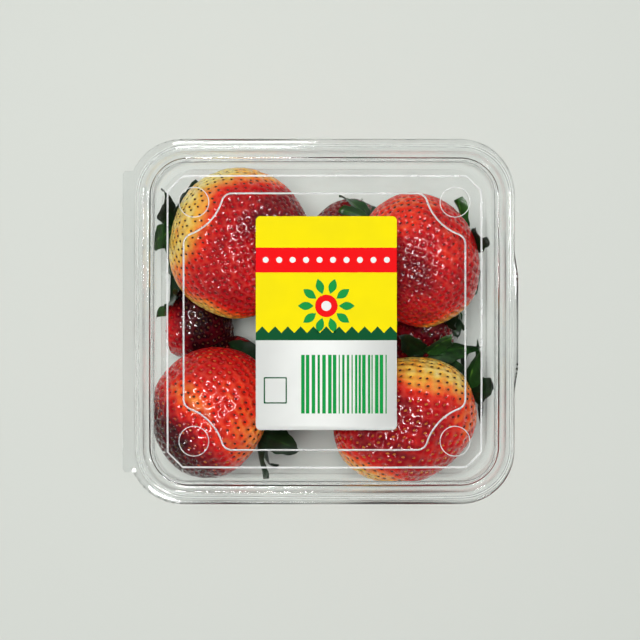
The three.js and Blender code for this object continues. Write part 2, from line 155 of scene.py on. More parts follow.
# Strawberries: middle, direction from the leaves to the tip, half length, half width, half height,
# taper towards the tip, leaves and their length, as in the solids. ripe is the ripeness from 0, pale,
# to 1, deep maroon. Each pale or deep patch has a direction, where it starts, where it is full, and
# how much it takes from or adds to the ripeness. gold is how golden the seeds on red skin are, pits the
# depth of the pits, and spacing that of the seeds, against the settings.
BERRIES = (
    {
        "name": "back_left", "at": (-26.2, 25.3, 34.6), "tip": (0.9, -0.24, 0.34),
        "half": (24.3, 24.2, 20.0), "taper": 0.06, "leaves": 8, "leaf": 19, "turn": 0.5,
        "lift": 0.2, "curl": -0.5, "ripe": 0.56, "pits": 0.9, "spacing": 0.93,
        "patches": (
            ((-0.93, 0.36, 0.1), 0.3, 0.92, -0.52), ((-0.35, -0.9, -0.3), 0.6, 0.95, -0.5),
            ((0.1, 0.98, 0.1), 0.7, 0.97, -0.42), ((0.72, 0.15, 0.67), 0.62, 0.97, 0.2),
        ),
    },
    {
        "name": "back_right", "at": (31.0, 19.6, 35.2), "tip": (-0.9, -0.3, 0.4),
        "half": (19.8, 22.1, 19.6), "taper": 0.08, "leaves": 8, "leaf": 18, "turn": 0.0,
        "lift": -0.05, "curl": -0.2, "ripe": 0.54, "pits": 0.9, "spacing": 0.93,
        "patches": (
            ((0.5, -0.83, -0.2), 0.72, 0.97, -0.42), ((-0.35, -0.25, 0.9), 0.75, 0.99, 0.2),
            ((-0.3, 0.85, 0.4), 0.6, 0.95, -0.18), ((0.6, 0.25, 0.75), 0.86, 0.99, -0.1),
        ),
    },
    {
        "name": "front_left", "at": (-35.0, -29.2, 35.4), "tip": (-0.86, 0.4, 0.25),
        "half": (19.6, 21.8, 18.8), "taper": 0.02, "leaves": 7, "leaf": 18, "turn": -0.1,
        "lift": 0.2, "curl": 0.8, "ripe": 0.5, "gold": 0.5, "pits": 0.8, "spacing": 1.0,
        "patches": (
            ((-0.72, -0.66, 0.2), 0.22, 0.8, 0.4), ((-0.4, 0.3, 0.85), 0.88, 0.99, -0.2),
            ((0.55, -0.2, 0.8), 0.4, 0.92, -0.14), ((0.93, -0.35, 0.1), 0.7, 0.95, -0.16),
        ),
    },
    {
        "name": "front_right", "at": (28.0, -31.2, 35.0), "tip": (-0.88, -0.36, 0.3),
        "half": (25.4, 19.8, 19.0), "taper": -0.05, "leaves": 7, "leaf": 18, "turn": 0.3,
        "lift": 0.3, "curl": 0.6, "ripe": 0.54, "gold": 0.62, "pits": 0.8, "spacing": 1.1,
        "patches": (
            ((0.25, 0.95, 0.25), 0.5, 0.93, -0.46), ((-0.4, -0.05, 0.91), 0.55, 0.98, 0.13),
            ((-0.55, -0.8, 0.1), 0.7, 0.97, -0.4), ((0.95, 0.1, 0.2), 0.72, 0.97, -0.22),
        ),
    },
    {
        "name": "upper_middle", "at": (1.5, -7.0, 35.5), "tip": (0.2, -0.9, 0.3),
        "half": (17.5, 15.0, 15.5), "taper": 0.14, "leaves": 4, "leaf": 13, "turn": 0.4,
        "lift": 0.1, "curl": 0.4, "ripe": 0.74,
    },
    {
        "name": "lower_left", "at": (-41.6, -0.6, 18.8), "tip": (0.62, -0.5, -0.5),
        "half": (14.6, 13.2, 12.8), "taper": 0.2, "leaves": 6, "leaf": 15, "turn": 0.3,
        "lift": 0.2, "curl": 0.5, "ripe": 0.95, "pits": 0.65,
        "patches": (((-0.9, -0.2, 0.35), 0.35, 0.85, -0.42),),
    },
    {
        "name": "lower_right", "at": (33.0, -4.0, 15.0), "tip": (-0.15, 0.55, -0.8),
        "half": (14.5, 11.6, 12.6), "taper": 0.26, "leaves": 6, "leaf": 16, "turn": 0.5,
        "lift": 0.1, "curl": 0.5, "ripe": 0.84,
    },
    {
        "name": "lower_back", "at": (7.5, 27.0, 16.0), "tip": (-0.6, -0.4, -0.65),
        "half": (15.6, 12.4, 13.6), "taper": 0.24, "leaves": 6, "leaf": 12, "turn": 0.4,
        "lift": 0.1, "curl": -0.8, "ripe": 0.78,
    },
    {
        "name": "lower_front", "at": (-29.5, -18.0, 12.5), "tip": (0.6, -0.6, -0.4),
        "half": (13.5, 12.0, 10.8), "taper": 0.22, "leaves": 3, "leaf": 12, "turn": 0.0,
        "lift": 0.0, "curl": -0.6, "ripe": 0.8,
    },
    {
        "name": "lower_middle", "at": (-6.5, -20.5, 17.0), "tip": (0.86, -0.48, -0.15),
        "half": (14.0, 12.0, 11.0), "taper": 0.2, "leaves": 2, "leaf": 17, "turn": 0.0,
        "lift": 1.15, "curl": 0.2, "ripe": 0.7,
    },
    {
        "name": "corner_back_left", "at": (-34.4, 34.2, 10.8), "tip": (0.6, -0.5, -0.5),
        "half": (13.4, 11.6, 9.8), "taper": 0.24, "leaves": 2, "leaf": 12, "turn": 0.0,
        "lift": 0.1, "curl": 0.4, "ripe": 0.66,
    },
    {
        "name": "corner_back_right", "at": (39.0, 17.0, 11.0), "tip": (-0.3, 0.75, -0.55),
        "half": (12.6, 11.6, 9.8), "taper": 0.24, "leaves": 3, "leaf": 17, "turn": 0.4,
        "lift": 1.2, "curl": 0.2, "ripe": 0.72,
    },
    {
        "name": "corner_front_left", "at": (-36.0, -34.6, 10.6), "tip": (0.8, -0.5, 0.1),
        "half": (13.8, 11.4, 9.6), "taper": 0.24, "leaves": 0, "leaf": 8, "turn": 0.0,
        "lift": 0.2, "curl": 0.4, "ripe": 0.7,
    },
    {
        "name": "corner_front_right", "at": (34.6, -34.4, 10.6), "tip": (-0.9, -0.2, 0.1),
        "half": (14.4, 11.4, 9.6), "taper": 0.24, "leaves": 0, "leaf": 8, "turn": 0.0,
        "lift": 0.2, "curl": 0.4, "ripe": 0.64,
    },
)

# What a berry has that doesn't say otherwise
DEFAULTS = {"gold": 0.3, "pits": 1, "spacing": 0.9, "patches": ()}

# Berries with a half length up to this have fewer rings and shallower pits
LARGE_HALF = 17.0
SMALL_ROWS = 0.62
SMALL_PITS = 0.8

# Skin: the dimple under the leaves, then waves in its form and blotches in its ripeness, each with its
# share and its length on the unit ball, and the room left between two berries that press on each other.
# Blotches and seeds draw their random numbers from a berry's own number plus BLOTCH_DRAW or SEED_DRAW.
DIMPLE = {"depth": 0.12, "width": 0.45}
SKIN_WAVES = ((0.016, 1.7), (0.007, 0.7))
BLOTCHES = ((0.035, 0.5), (0.03, 0.16))
PRESS_ROOM = 0.1
BLOTCH_DRAW = 5
SEED_DRAW = 11

# Pits: widths of the bowl and of the hole in its middle in seed spacings, the bowl's share of the depth,
# and how much of the bowl is round, the rest of it reaching up to the ridges between the pits
PIT = {"bowl": 0.45, "hole": 0.24, "bowl_depth": 0.65, "round": 0.75}

# Seeds: area of one place in squares of the spacing, how far each is off its place in steps, how deep it
# sits in its pit, its width and height in lengths, how much its length varies, its taper and its lean
SEED = {
    "area": 0.866, "off": 0.36, "sunk": 0.82, "width": 0.62, "height": 0.42, "vary": 0.15, "taper": 0.3,
    "lean": 0.15,
}
SEED_GRID = (3, 6)

# Tone of the seeds, from golden to dark; ripeness up to which skin is pale and from which it is maroon
SEED_TONE = {"uneven": 0.15, "dark": 0.85, "red": 0.75}
PALE_SKIN = (0.25, 0.5)
MAROON_SKIN = (0.8, 0.92)

# Leaves: the solids' own numbers for outline, wave, root and unevenness, then those of the thin blade,
# its pointed tip and its uneven edge
LEAF_WIDTH = 0.42
LEAF_START = 0.12
LEAF_OUTLINE = {"end": 0.96, "pull": 0.75, "fullness": 0.85}
LEAF_WAVE = {"height": 0.07, "pace": 5.5, "shift": 1.7, "least": 0.3}
LEAF_ROOT = {"out": 0.8, "in": 1.6}
LEAF_UNEVEN = {"length": 0.14, "turn": 0.3, "lift": 0.25}
LEAF_PACE = {"length": 5, "turn": 7, "lift": 4}
LEAF_BLADE = {"thick": 0.22, "thinner": 0.6, "fold": 0.32, "fold_power": 1.3}
LEAF_TIP = {"from": 0.9, "narrower": 0.95}
LEAF_EDGE = {"height": 0.05, "pace": 26}
LEAF_GRID = (30, 20)

# Label print: corner radius of the label and of a sharp field, the height where the coloured ground ends
# in half heights, and each motif's sizes. A band and a row of dots count down from the top edge. PAPER
# and INK are thicknesses.
LABEL_CORNER = 1.4
SHARP = 0.02
GROUND_END = -0.16
BAND = {"top": 9.5, "bottom": 17}
DOTS = {"down": 13.2, "in": 3, "radius": 0.9, "count": 10}
ROSETTE = {"at": (0, 5.2), "disc": 3.4, "hub": 1.5, "count": 10}
ROSETTE_LEAF = {"start": 3.8, "end": 8.6, "width": 1.25}
SAW = {"points": 23, "foot": 2.2, "tooth": 2.0}
BARS = {"from": -7.6, "low": 5, "below": 4.4, "in": 3, "swell": 1.02, "count": 26, "draw": 4}
BAR_WIDTHS = (0.35, 0.7, 1.05)
FRAME = {"left": 2.4, "right": 9.4, "low": 8, "high": 16, "line": 0.4, "radii": (0.3, 0.2)}
PAPER = 0.12
INK = 0.015


def srgb(red, green, blue):
    """Linear colour with alpha from screen values of 0 to 255."""
    screen = np.array((red, green, blue)) / 255
    linear = np.where(screen <= 0.04045, screen / 12.92, ((screen + 0.055) / 1.055) ** 2.4)
    return (*linear.tolist(), 1.0)


def length_setting(name, description, default, low, high):
    """Length that a user may change, in metres."""
    return FloatProperty(
        name=name, description=description, default=default, min=low, max=high, unit="LENGTH",
    )


def colour_setting(name, description, *screen):
    """Colour that a user may change, with its default in screen values of 0 to 255."""
    return FloatVectorProperty(
        name=name, description=description, default=srgb(*screen), size=4, min=0, max=1, subtype="COLOR",
    )


class PunnetSettings(bpy.types.PropertyGroup):
    film: length_setting("Film", "Thickness of the clear plastic", 0.0004, 0.0002, 0.0008)
    seed_spacing: length_setting("Seed spacing", "Distance between neighbouring seeds", 0.0029, 0.002, 0.005)
    pit_depth: length_setting("Pit depth", "Depth of the pits that the seeds sit in", 0.0008, 0.0, 0.0015)
    seed_length: length_setting("Seed length", "Length of one seed", 0.0012, 0.0008, 0.003)
    skin_rows: IntProperty(
        name="Skin rows", description="Rings of faces from the leaves to the tip of a large berry",
        default=200, min=40, max=240,
    )
    plastic: colour_setting("Plastic", "Tint of the clear plastic", 253, 254, 254)
    floor: colour_setting("Floor", "Colour of the floor", 204, 208, 201)
    white: colour_setting("Label white", "Paper of the label", 226, 228, 224)
    yellow: colour_setting("Label yellow", "Ground colour of the label", 232, 214, 0)
    red: colour_setting("Label red", "Red of the label", 228, 10, 16)
    green: colour_setting("Label green", "Green of the label", 20, 142, 62)
    dark_green: colour_setting("Label dark green", "Dark green of the label", 6, 78, 42)


# Meshes

def mesh_piece(name, points, faces, materials=(), attributes=None, smooth=True):
    """Object at the origin from (n, 3) points in millimetres and a list of (m, k) arrays of their numbers."""
    mesh = bpy.data.meshes.new(name)
    corners = np.concatenate([part.ravel() for part in faces])
    sides = np.concatenate([np.full(len(part), part.shape[1]) for part in faces])
    starts = np.concatenate(([0], np.cumsum(sides)[:-1]))
    mesh.vertices.add(len(points))
    mesh.vertices.foreach_set("co", (points * MM).astype(np.float32).ravel())
    mesh.loops.add(len(corners))
    mesh.loops.foreach_set("vertex_index", corners.astype(np.int32))
    mesh.polygons.add(len(sides))
    mesh.polygons.foreach_set("loop_start", starts.astype(np.int32))
    mesh.polygons.foreach_set("use_smooth", np.full(len(sides), smooth))
    for key, values in (attributes or {}).items():
        layer = mesh.attributes.new(key, "FLOAT", "POINT")
        layer.data.foreach_set("value", values.astype(np.float32).ravel())
    mesh.update(calc_edges=True)
    mesh.validate()
    piece = bpy.data.objects.new(name, mesh)
    bpy.context.scene.collection.objects.link(piece)
    for material in materials:
        mesh.materials.append(material)
    return piece


def grid_faces(rows, columns, wrap=True):
    """Quads of a grid whose vertex (r, c) is r * columns + c; wrap joins the last column to the first."""
    r, c = np.meshgrid(np.arange(rows - 1), np.arange(columns if wrap else columns - 1), indexing="ij")
    ahead = (c + 1) % columns
    here, there = r * columns, (r + 1) * columns
    return np.stack((here + c, here + ahead, there + ahead, there + c), -1).reshape(-1, 4)


def capped_faces(rows, columns):
    """Faces of a closed surface: ring grid first, then the first and the last pole as extra vertices."""
    first, last = rows * columns, rows * columns + 1
    c = np.arange(columns)
    ahead = (c + 1) % columns
    end = (rows - 1) * columns
    start_fan = np.stack((np.full(columns, first), ahead, c), -1)
    end_fan = np.stack((np.full(columns, last), end + c, end + ahead), -1)
    return [grid_faces(rows, columns), start_fan, end_fan]


def outward(points, faces):
    """The same faces, all turned round if the volume that they enclose comes out negative."""
    volume = 0.0
    for part in faces:
        a, b, c = points[part[:, 0]], points[part[:, 1]], points[part[:, 2]]
        volume += np.einsum("ij,ij->", a, np.cross(b, c))
        if part.shape[1] == 4:
            d = points[part[:, 3]]
            volume += np.einsum("ij,ij->", a, np.cross(c, d))
    return faces if volume > 0 else [part[:, ::-1] for part in faces]


def waves(points, seed, length, count=9):
    """Smooth uneven field of about -1 to 1: sine waves of like length in seeded directions, added up."""
    rng = np.random.default_rng(seed)
    turn = rng.normal(size=(3, count))
    turn *= 2 * np.pi / (length * rng.uniform(0.75, 1.4, count) * np.linalg.norm(turn, axis=0))
    return np.sin(points @ turn + rng.uniform(0, 2 * np.pi, count)).sum(-1) * math.sqrt(1 / count)


def layered(points, seed, layers):
    """Sum of wave fields, each given as its share and its length, with seeds that count up."""
    return sum(share * waves(points, seed + k, length) for k, (share, length) in enumerate(layers))


def smoothstep(low, high, value):
    """0 below low, 1 above high, and smooth between them."""
    t = np.clip((value - low) / (high - low), 0, 1)
    return t * t * (3 - 2 * t)


def arc(x, y, radius, start, end, steps):
    """Points along an arc round (x, y) from one turn to another."""
    turn = np.linspace(start, end, steps + 1)
    return np.stack((x + radius * np.cos(turn), y + radius * np.sin(turn)), -1)


def circle(x, y, radius, steps=64):
    """Points round a circle."""
    return arc(x, y, radius, 0, 2 * np.pi, steps)[:-1]


def at_height(plan, height):
    """Flat points lifted to a height."""
    return np.concatenate((plan, np.full((len(plan), 1), height)), -1)


def unit(vector):
    """Vectors along the last axis, each made 1 long."""
    vector = np.asarray(vector, float)
    return vector / np.linalg.norm(vector, axis=-1, keepdims=True)


def thicken(piece, thickness, offset=0):
    """Wall of a thickness in metres: half to each side of a sheet, or all of it below at an offset of -1."""
    wall = piece.modifiers.new("Wall", "SOLIDIFY")
    wall.thickness = thickness
    wall.offset = offset
    return wall


# Shells

def rounded(points, trim, steps=6):
    """Polyline with each inner corner replaced by a quadratic curve that begins and ends trim from it."""
    points = np.asarray(points, float)
    runs = np.diff(points, axis=0)
    lengths = np.linalg.norm(runs, axis=1, keepdims=True)
    ways = runs / lengths
    reach = np.minimum(trim, 0.48 * np.minimum(lengths[:-1], lengths[1:]))
    corner = points[1:-1]
    start, end = corner - ways[:-1] * reach, corner + ways[1:] * reach
    u = np.linspace(0, 1, steps + 1)[:, None, None]
    curve = (1 - u) ** 2 * start + 2 * u * (1 - u) * corner + u ** 2 * end
    return np.concatenate((points[:1], curve.transpose(1, 0, 2).reshape(-1, 2), points[-1:]))


def refined(line, longest):
    """The same polyline with points added so that no step is longer than longest."""
    along = np.concatenate(([0], np.cumsum(np.linalg.norm(np.diff(line, axis=0), axis=1))))
    counts = np.maximum(np.ceil(np.diff(along) / longest).astype(int), 1)
    within = np.concatenate([np.arange(n) / n for n in counts])
    start = np.repeat(along[:-1], counts)
    stops = np.append(start + within * np.repeat(np.diff(along), counts), along[-1])
    return np.stack([np.interp(stops, along, line[:, k]) for k in (0, 1)], -1)


def offset_line(points, distance):
    """A polyline moved sideways to its left by distance, with mitred corners."""
    points = np.asarray(points, float)
    ways = unit(np.diff(points, axis=0))
    normals = np.stack((-ways[:, 1], ways[:, 0]), -1)
    before = np.concatenate((normals[:1], normals))
    after = np.concatenate((normals, normals[-1:]))
    mitre = (before + after) / (1 + (before * after).sum(-1, keepdims=True))
    return points + mitre * distance


def rings(line, radius_rate, chamfer=False):
    """Rounded rectangles for rows of (distance out from the mouth, height), as a (rows, columns, 3) grid.

    Each corner is an arc about its own middle, which turns into a straight cut as the height goes
    through CHAMFER_Z. Each side runs between two corners and bows outwards by SIDE_BOW.
    """
    out, height = line[:, 0], line[:, 1]
    half = MOUTH[None, :] + out[:, None]
    radius = MOUTH_RADIUS + np.where(out < 0, radius_rate, 1) * out
    radius = np.clip(radius, LEAST_RADIUS, None)[:, None, None]
    cut = smoothstep(*CHAMFER_Z, height) if chamfer else np.zeros(len(line))
    cut = cut[:, None, None]
    t = np.linspace(0, 1, CORNER_STEPS + 1)
    start = np.arange(4)[:, None] * np.pi / 2
    turn = start + t * np.pi / 2
    round_corner = np.stack((np.cos(turn), np.sin(turn)), -1)
    cut_corner = round_corner[:, :1] * (1 - t)[:, None] + round_corner[:, -1:] * t[:, None]
    signs = np.array(((1, 1), (-1, 1), (-1, -1), (1, -1)))
    middle = signs * (half[:, None, :] - radius)
    shape = round_corner * (1 - cut[..., None]) + cut_corner * cut[..., None]
    corners = middle[:, :, None, :] + radius[..., None] * shape
    s = (np.arange(1, SIDE_STEPS) / SIDE_STEPS)[:, None]
    following = np.roll(corners, -1, axis=1)
    outwards = np.array(((0, 1), (-1, 0), (0, -1), (1, 0)))[None, :, None, :]
    bow = SIDE_BOW * 4 * s * (1 - s) * outwards
    sides = corners[:, :, -1:, :] * (1 - s) + following[:, :, :1, :] * s + bow
    plan = np.concatenate((corners, sides), axis=2).reshape(len(line), -1, 2)
    return np.concatenate((plan, np.broadcast_to(height[:, None, None], (*plan.shape[:2], 1))), -1)


def inside(ring_list, points):
    """Even-odd test: which points lie inside an odd number of the rings."""
    odd = np.zeros(len(points), bool)
    for ring in ring_list:
        a, b = ring, np.roll(ring, -1, axis=0)
        x, y = points[:, :1], points[:, 1:2]
        spans = (a[:, 1] > y) != (b[:, 1] > y)
        rise = np.where(a[:, 1] == b[:, 1], 1, b[:, 1] - a[:, 1])
        crossing = a[:, 0] + (y - a[:, 1]) / rise * (b[:, 0] - a[:, 0])
        odd ^= (spans & (x < crossing)).sum(1) % 2 == 1
    return odd


def plate(ring_list, height):
    """Flat sheet between closed outlines: triangles on their points that keep every outline edge."""
    counts = [len(ring) for ring in ring_list]
    starts = np.cumsum([0] + counts[:-1])
    edges = np.concatenate([
        np.stack((start + np.arange(n), start + (np.arange(n) + 1) % n), -1)
        for start, n in zip(starts, counts)
    ])
    found = delaunay_2d_cdt(np.concatenate(ring_list).tolist(), edges.tolist(), [], 0, 1e-6, False)
    flat, triangles = np.array(found[0]), np.array(found[2])
    kept = triangles[inside(ring_list, flat[triangles].mean(1))]
    a, b, c = (flat[kept[:, k]] for k in range(3))
    turned = (b[:, 0] - a[:, 0]) * (c[:, 1] - a[:, 1]) < (b[:, 1] - a[:, 1]) * (c[:, 0] - a[:, 0])
    kept[turned] = kept[turned][:, ::-1]
    return at_height(flat, height), [kept]


def ring_strip(grid):
    """Points and upward faces of a closed band from a (rows, columns, 3) grid that runs outwards."""
    rows, columns = grid.shape[:2]
    return grid.reshape(-1, 3), [grid_faces(rows, columns)[:, ::-1]]


def join(parts):
    """One set of points and faces from several, with each part's number kept for its faces."""
    points, faces, numbers, start = [], [], [], 0
    for number, (part_points, part_faces) in enumerate(parts):
        points.append(part_points)
        for block in part_faces:
            faces.append(block + start)
            numbers.append(np.full(len(block), number))
        start += len(part_points)
    return np.concatenate(points), faces, np.concatenate(numbers)


def welded_shell(name, parts, thickness):
    """Sheet of (material, part) pairs, welded where their edges meet, with a wall and even shading."""
    materials = list(dict.fromkeys(material for material, _ in parts))
    points, faces, numbers = join([part for _, part in parts])
    piece = mesh_piece(name, points + np.array((CENTRE_X, 0, 0)), faces, materials)
    kinds = np.array([materials.index(material) for material, _ in parts])
    piece.data.polygons.foreach_set("material_index", kinds[numbers].astype(np.int32))
    mesh = bmesh.new()
    mesh.from_mesh(piece.data)
    bmesh.ops.remove_doubles(mesh, verts=mesh.verts, dist=2e-7)
    mesh.to_mesh(piece.data)
    mesh.free()
    thicken(piece, thickness).use_even_offset = True
    weighted = piece.modifiers.new("Even shading", "WEIGHTED_NORMAL")
    weighted.keep_sharp = False
    weighted.weight = 60
    return piece


def flange_outline():
    """Outer edge of the flange: four arcs, the hinge strip with its ears and the rounded opening tab."""
    radius = MOUTH_RADIUS + LIP_OUT
    reach = MOUTH - MOUTH_RADIUS
    right, left = reach[0] + LIP_EXTRA["right"], -reach[0] - LIP_EXTRA["left"]
    end = reach[1] + LIP_EXTRA["ends"]
    ear, strip_x = STRIP_HALF + STRIP_EAR, STRIP_X - CENTRE_X
    y = np.linspace(TAB_FLAT_HALF, TAB_HALF, TAB_STEPS)
    tab_out = TAB_X - CENTRE_X - (right + radius)
    upper = np.concatenate((
        np.stack((right + radius + tab_out * (1 - smoothstep(TAB_FLAT_HALF, TAB_HALF, y)), y), -1),
        arc(right, end, radius, 0, np.pi / 2, CORNER_STEPS),
        arc(left, end, radius, np.pi / 2, np.pi - math.asin((ear - end) / radius), CORNER_STEPS),
        ((strip_x + EAR_WIDTH, ear), (strip_x, STRIP_HALF)),
    ))
    return np.concatenate((upper, (upper * (1, -1))[::-1]))


RIM = [(0.8, RIM_Z), (1.6, BEAD_Z), (2.6, BEAD_Z), (3.6, RIM_Z), (LIP_OUT, RIM_Z)]
TUB_WALL = [(-10.5, FLOOR_Z), (-8.2, 1.4), (-7, 4.4), (-3.2, SHOULDER_Z - 1), (-1.4, SHOULDER_Z + 1)]
TUB_LINE = [
    (-24.6, FLOOR_Z), (-24, FLOOR_Z), (-22.5, FLOOR_RIB_Z), (-16.5, FLOOR_RIB_Z), (-15, FLOOR_Z),
    *TUB_WALL, (-0.4, RIM_Z), *RIM,
]
LID_WALL = [(-7.9, SHELF_Z), (-7.1, SHELF_Z - 0.8), (-2.8, 47.2), (-1.7, 46.2)]
LID_RIM = offset_line([(-1.1, RIM_Z), *RIM], WALL + GAP).tolist()
LID_LINE = [(SHELF_IN, SHELF_Z), *LID_WALL, *LID_RIM]


def shell_body(points, form, chamfer=False):
    """Distances out of a rounded profile that ends on the inner edge of the flange, and its rings."""
    line = rounded(points, form["round"])
    line = line[line[:, 0] < FLANGE_IN]
    line = refined(np.concatenate((line, [(FLANGE_IN, points[-1][1])])), form["step"])
    return line[:, 0], rings(line, form["shrink"], chamfer)


def island_outline(out, steps=14):
    """Island edge moved outwards by out: straight sides, small round ends, and scoops beside the vents.

    The middles of the arcs stay where they are, so every outline is parallel to the first.
    """
    a, b = ISLAND
    reach = SCOOP_FILLET + SCOOP_RADIUS
    side_way, top_way = SCOOP - (a, b) + SCOOP_FILLET
    top_x = SCOOP[0] - math.sqrt(reach ** 2 - top_way ** 2)
    side_y = SCOOP[1] - math.sqrt(reach ** 2 - side_way ** 2)
    side_turn = math.atan2(SCOOP[1] - side_y, side_way)
    top_turn = math.atan2(top_way, SCOOP[0] - top_x)
    corner = np.concatenate((
        arc(a - SCOOP_FILLET, side_y, SCOOP_FILLET + out, 0, side_turn, steps),
        arc(*SCOOP, SCOOP_RADIUS - out, side_turn - np.pi, top_turn - np.pi, steps)[1:-1],
        arc(top_x, b - SCOOP_FILLET, SCOOP_FILLET + out, top_turn, np.pi / 2, steps),
    ))
    top = np.concatenate((corner, (corner * (-1, 1))[::-1]))
    return np.concatenate((top, (top * (1, -1))[::-1]))


class PUNNET_OT_tub(bpy.types.Operator):
    """Clear lower shell: floor with its rib, drafted walls, bead and flange"""

    bl_idname = "punnet.tub"
    bl_label = "Tub"

    def execute(self, context):
        settings = context.scene.punnet
        out, body = shell_body(TUB_LINE, TUB_FORM)
        rim = np.searchsorted(out, RIM_FROM)
        clear, thick_rim = clear_plastic(settings, "tub_film"), clear_plastic(settings, "rim_film")
        parts = [
            (clear, plate([body[0, :, :2]], FLOOR_Z)),
            (clear, ring_strip(body[:rim + 1])),
            (thick_rim, ring_strip(body[rim:])),
            (thick_rim, plate([flange_outline(), body[-1, :, :2]], RIM_Z)),
        ]
        tub = welded_shell("tub_shell", parts, settings.film)
        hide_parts("tub")
        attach(tub, "base")
        return {"FINISHED"}


class PUNNET_OT_lid(bpy.types.Operator):
    """Clear upper shell: flange, bead, drafted walls, shelf with four vents and the raised island"""

    bl_idname = "punnet.lid"
    bl_label = "Lid"

    def execute(self, context):
        settings = context.scene.punnet
        out, body = shell_body(LID_LINE, LID_FORM, chamfer=True)
        fold, rim = np.searchsorted(out, (SHELF_EDGE, RIM_FROM))
        top_z = SHELF_Z + ISLAND_RISE
        step_line = list(zip(ISLAND_STEP, (top_z, top_z, SHELF_Z, SHELF_Z)))
        step_line = refined(rounded(step_line, STEP_ROUND), STEP_LONGEST)
        step = np.stack([at_height(island_outline(way_out), z) for way_out, z in step_line])
        places = [(sx * VENT[0], sy * VENT[1]) for sx in (1, -1) for sy in (1, -1)]
        vents = [circle(*place, VENT_RADIUS + VENT_LIP) for place in places]
        clear, thick_rim = clear_plastic(settings, "clear_film"), clear_plastic(settings, "rim_film")
        highlit_crease = whitened_highlit_film()
        # The island's step, the vent lips and the shelf's edge take the whitened film, which also paints in
        # the highlights of these bends.
        parts = [
            (thick_rim, plate([flange_outline(), body[-1, :, :2]], RIM_Z + WALL + GAP)),
            (clear, ring_strip(body[fold:rim + 1])),
            (thick_rim, ring_strip(body[rim:])),
            (clear, plate([body[0, :, :2], step[-1, :, :2], *vents], SHELF_Z)),
            (highlit_crease, ring_strip(step)),
            (clear, plate([step[0, :, :2]], top_z)),
            *((highlit_crease, plate([circle(*at, VENT_RADIUS), vent], SHELF_Z)) for at, vent in zip(places, vents)),
            (highlit_crease, ring_strip(body[:fold + 1])),
        ]
        lid = welded_shell("lid_shell", parts, settings.film)
        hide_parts("lid")
        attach(lid, "lid")
        return {"FINISHED"}


class PUNNET_OT_hinge(bpy.types.Operator):
    """Thin fold of film that joins the two hinge strips"""

    bl_idname = "punnet.hinge"
    bl_label = "Hinge film"

    def execute(self, context):
        settings = context.scene.punnet
        low, high = RIM_Z, RIM_Z + WALL + GAP
        turn = np.linspace(-np.pi / 2, np.pi / 2, HINGE_STEPS[0])[:, None]
        x = STRIP_X - HINGE_OUT * np.cos(turn)
        z = (low + high) / 2 + (high - low) / 2 * np.sin(turn)
        y = np.linspace(-STRIP_HALF, STRIP_HALF, HINGE_STEPS[1])
        points = np.stack(np.broadcast_arrays(x, y, z), -1).reshape(-1, 3)
        faces = [grid_faces(*HINGE_STEPS, wrap=False)]
        film = mesh_piece("hinge_film", points, faces, [clear_plastic(settings, "clear_film")])
        thicken(film, settings.film / 2)
        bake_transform(film)
        return {"FINISHED"}


# Strawberries

def name_seed(berry):
    """Whole number for a berry's random draws, from the letters of its name."""
    return sum(map(ord, berry["name"]))


def berry_axes(berry):
    """Unit side, tip and top directions of a berry as the columns of a matrix."""
    tip = unit(berry["tip"])
    side = unit(np.cross((0, 0, 1), tip))
    return np.stack((side, tip, np.cross(tip, side)), -1)


def berry_skin(berry, t, phi):
    """Smooth skin before its pits, and its outward direction.

    t runs from 0 at the leaves to pi at the tip and phi goes round. The radius is sin t, fuller at the
    leaves, with a shallow dimple under them, stretched to the half sizes. Long low waves make it uneven.
    """
    length, width, height = berry["half"]
    round_about = np.sin(t) * (1 + berry["taper"] * np.cos(t))
    dimple = DIMPLE["depth"] * np.exp(-((t / DIMPLE["width"]) ** 2))
    ball = np.stack((np.sin(t) * np.sin(phi), -np.cos(t), np.sin(t) * np.cos(phi)), -1)
    x, z = width * round_about * np.sin(phi), height * round_about * np.cos(phi)
    local = np.stack((x, length * (dimple - np.cos(t)), z), -1)
    local *= 1 + layered(ball, name_seed(berry), SKIN_WAVES)[..., None]
    axes = berry_axes(berry)
    normal = unit(ball / np.array((width, length, height)))
    return local @ axes.T + np.array(berry["at"]), normal @ axes.T


def wall_room(z):
    """Distance out from the mouth of the free room inside the shut pack, at a height."""
    out, heights = zip(*TUB_WALL, (ROOM_AT_RIM, RIM_Z), *LID_WALL[::-1])
    return np.interp(z, heights, out) - ROOM_CLEAR


def keep_inside(points):
    """Points outside the room of the shut pack pushed in to its walls, floor and shelf."""
    moved = points.copy()
    moved[..., 2] = np.clip(moved[..., 2], FLOOR_RIB_Z + ROOM_CLEAR, SHELF_Z - ROOM_CLEAR)
    plan = moved[..., :2] - np.array((CENTRE_X, 0))
    corner = np.abs(plan) - (MOUTH - ROOM_RADIUS)
    beyond = np.maximum(corner, 0)
    long = np.linalg.norm(beyond, axis=-1)
    distance = long + np.minimum(corner.max(-1), 0) - ROOM_RADIUS
    excess = np.maximum(distance - wall_room(moved[..., 2]), 0)
    way = beyond / np.maximum(long, 1e-6)[..., None]
    plan -= np.sign(plan) * way * excess[..., None]
    moved[..., :2] = plan + np.array((CENTRE_X, 0))
    return moved


def press_apart(berry, points):
    """Points past the middle of the overlap with another berry pushed back to a flat between the two."""
    moved = points.copy()
    here = np.array(berry["at"])
    for other in BERRIES:
        if other["name"] == berry["name"]:
            continue
        way = np.array(other["at"]) - here
        apart = np.linalg.norm(way)
        way /= apart
        mine, theirs = (reach_towards(one, way) for one in (berry, other))
        overlap = mine + theirs - apart
        if overlap <= 0:
            continue
        limit = mine - overlap / 2 - PRESS_ROOM
        past = np.maximum((moved - here) @ way - limit, 0)[..., None]
        moved -= past * way
    return moved


def reach_towards(berry, way):
    """Distance from a berry's middle to the plane that touches its ellipsoid across a direction."""
    length, width, height = berry["half"]
    return float(np.linalg.norm((berry_axes(berry).T @ way) * (width, length, height)))


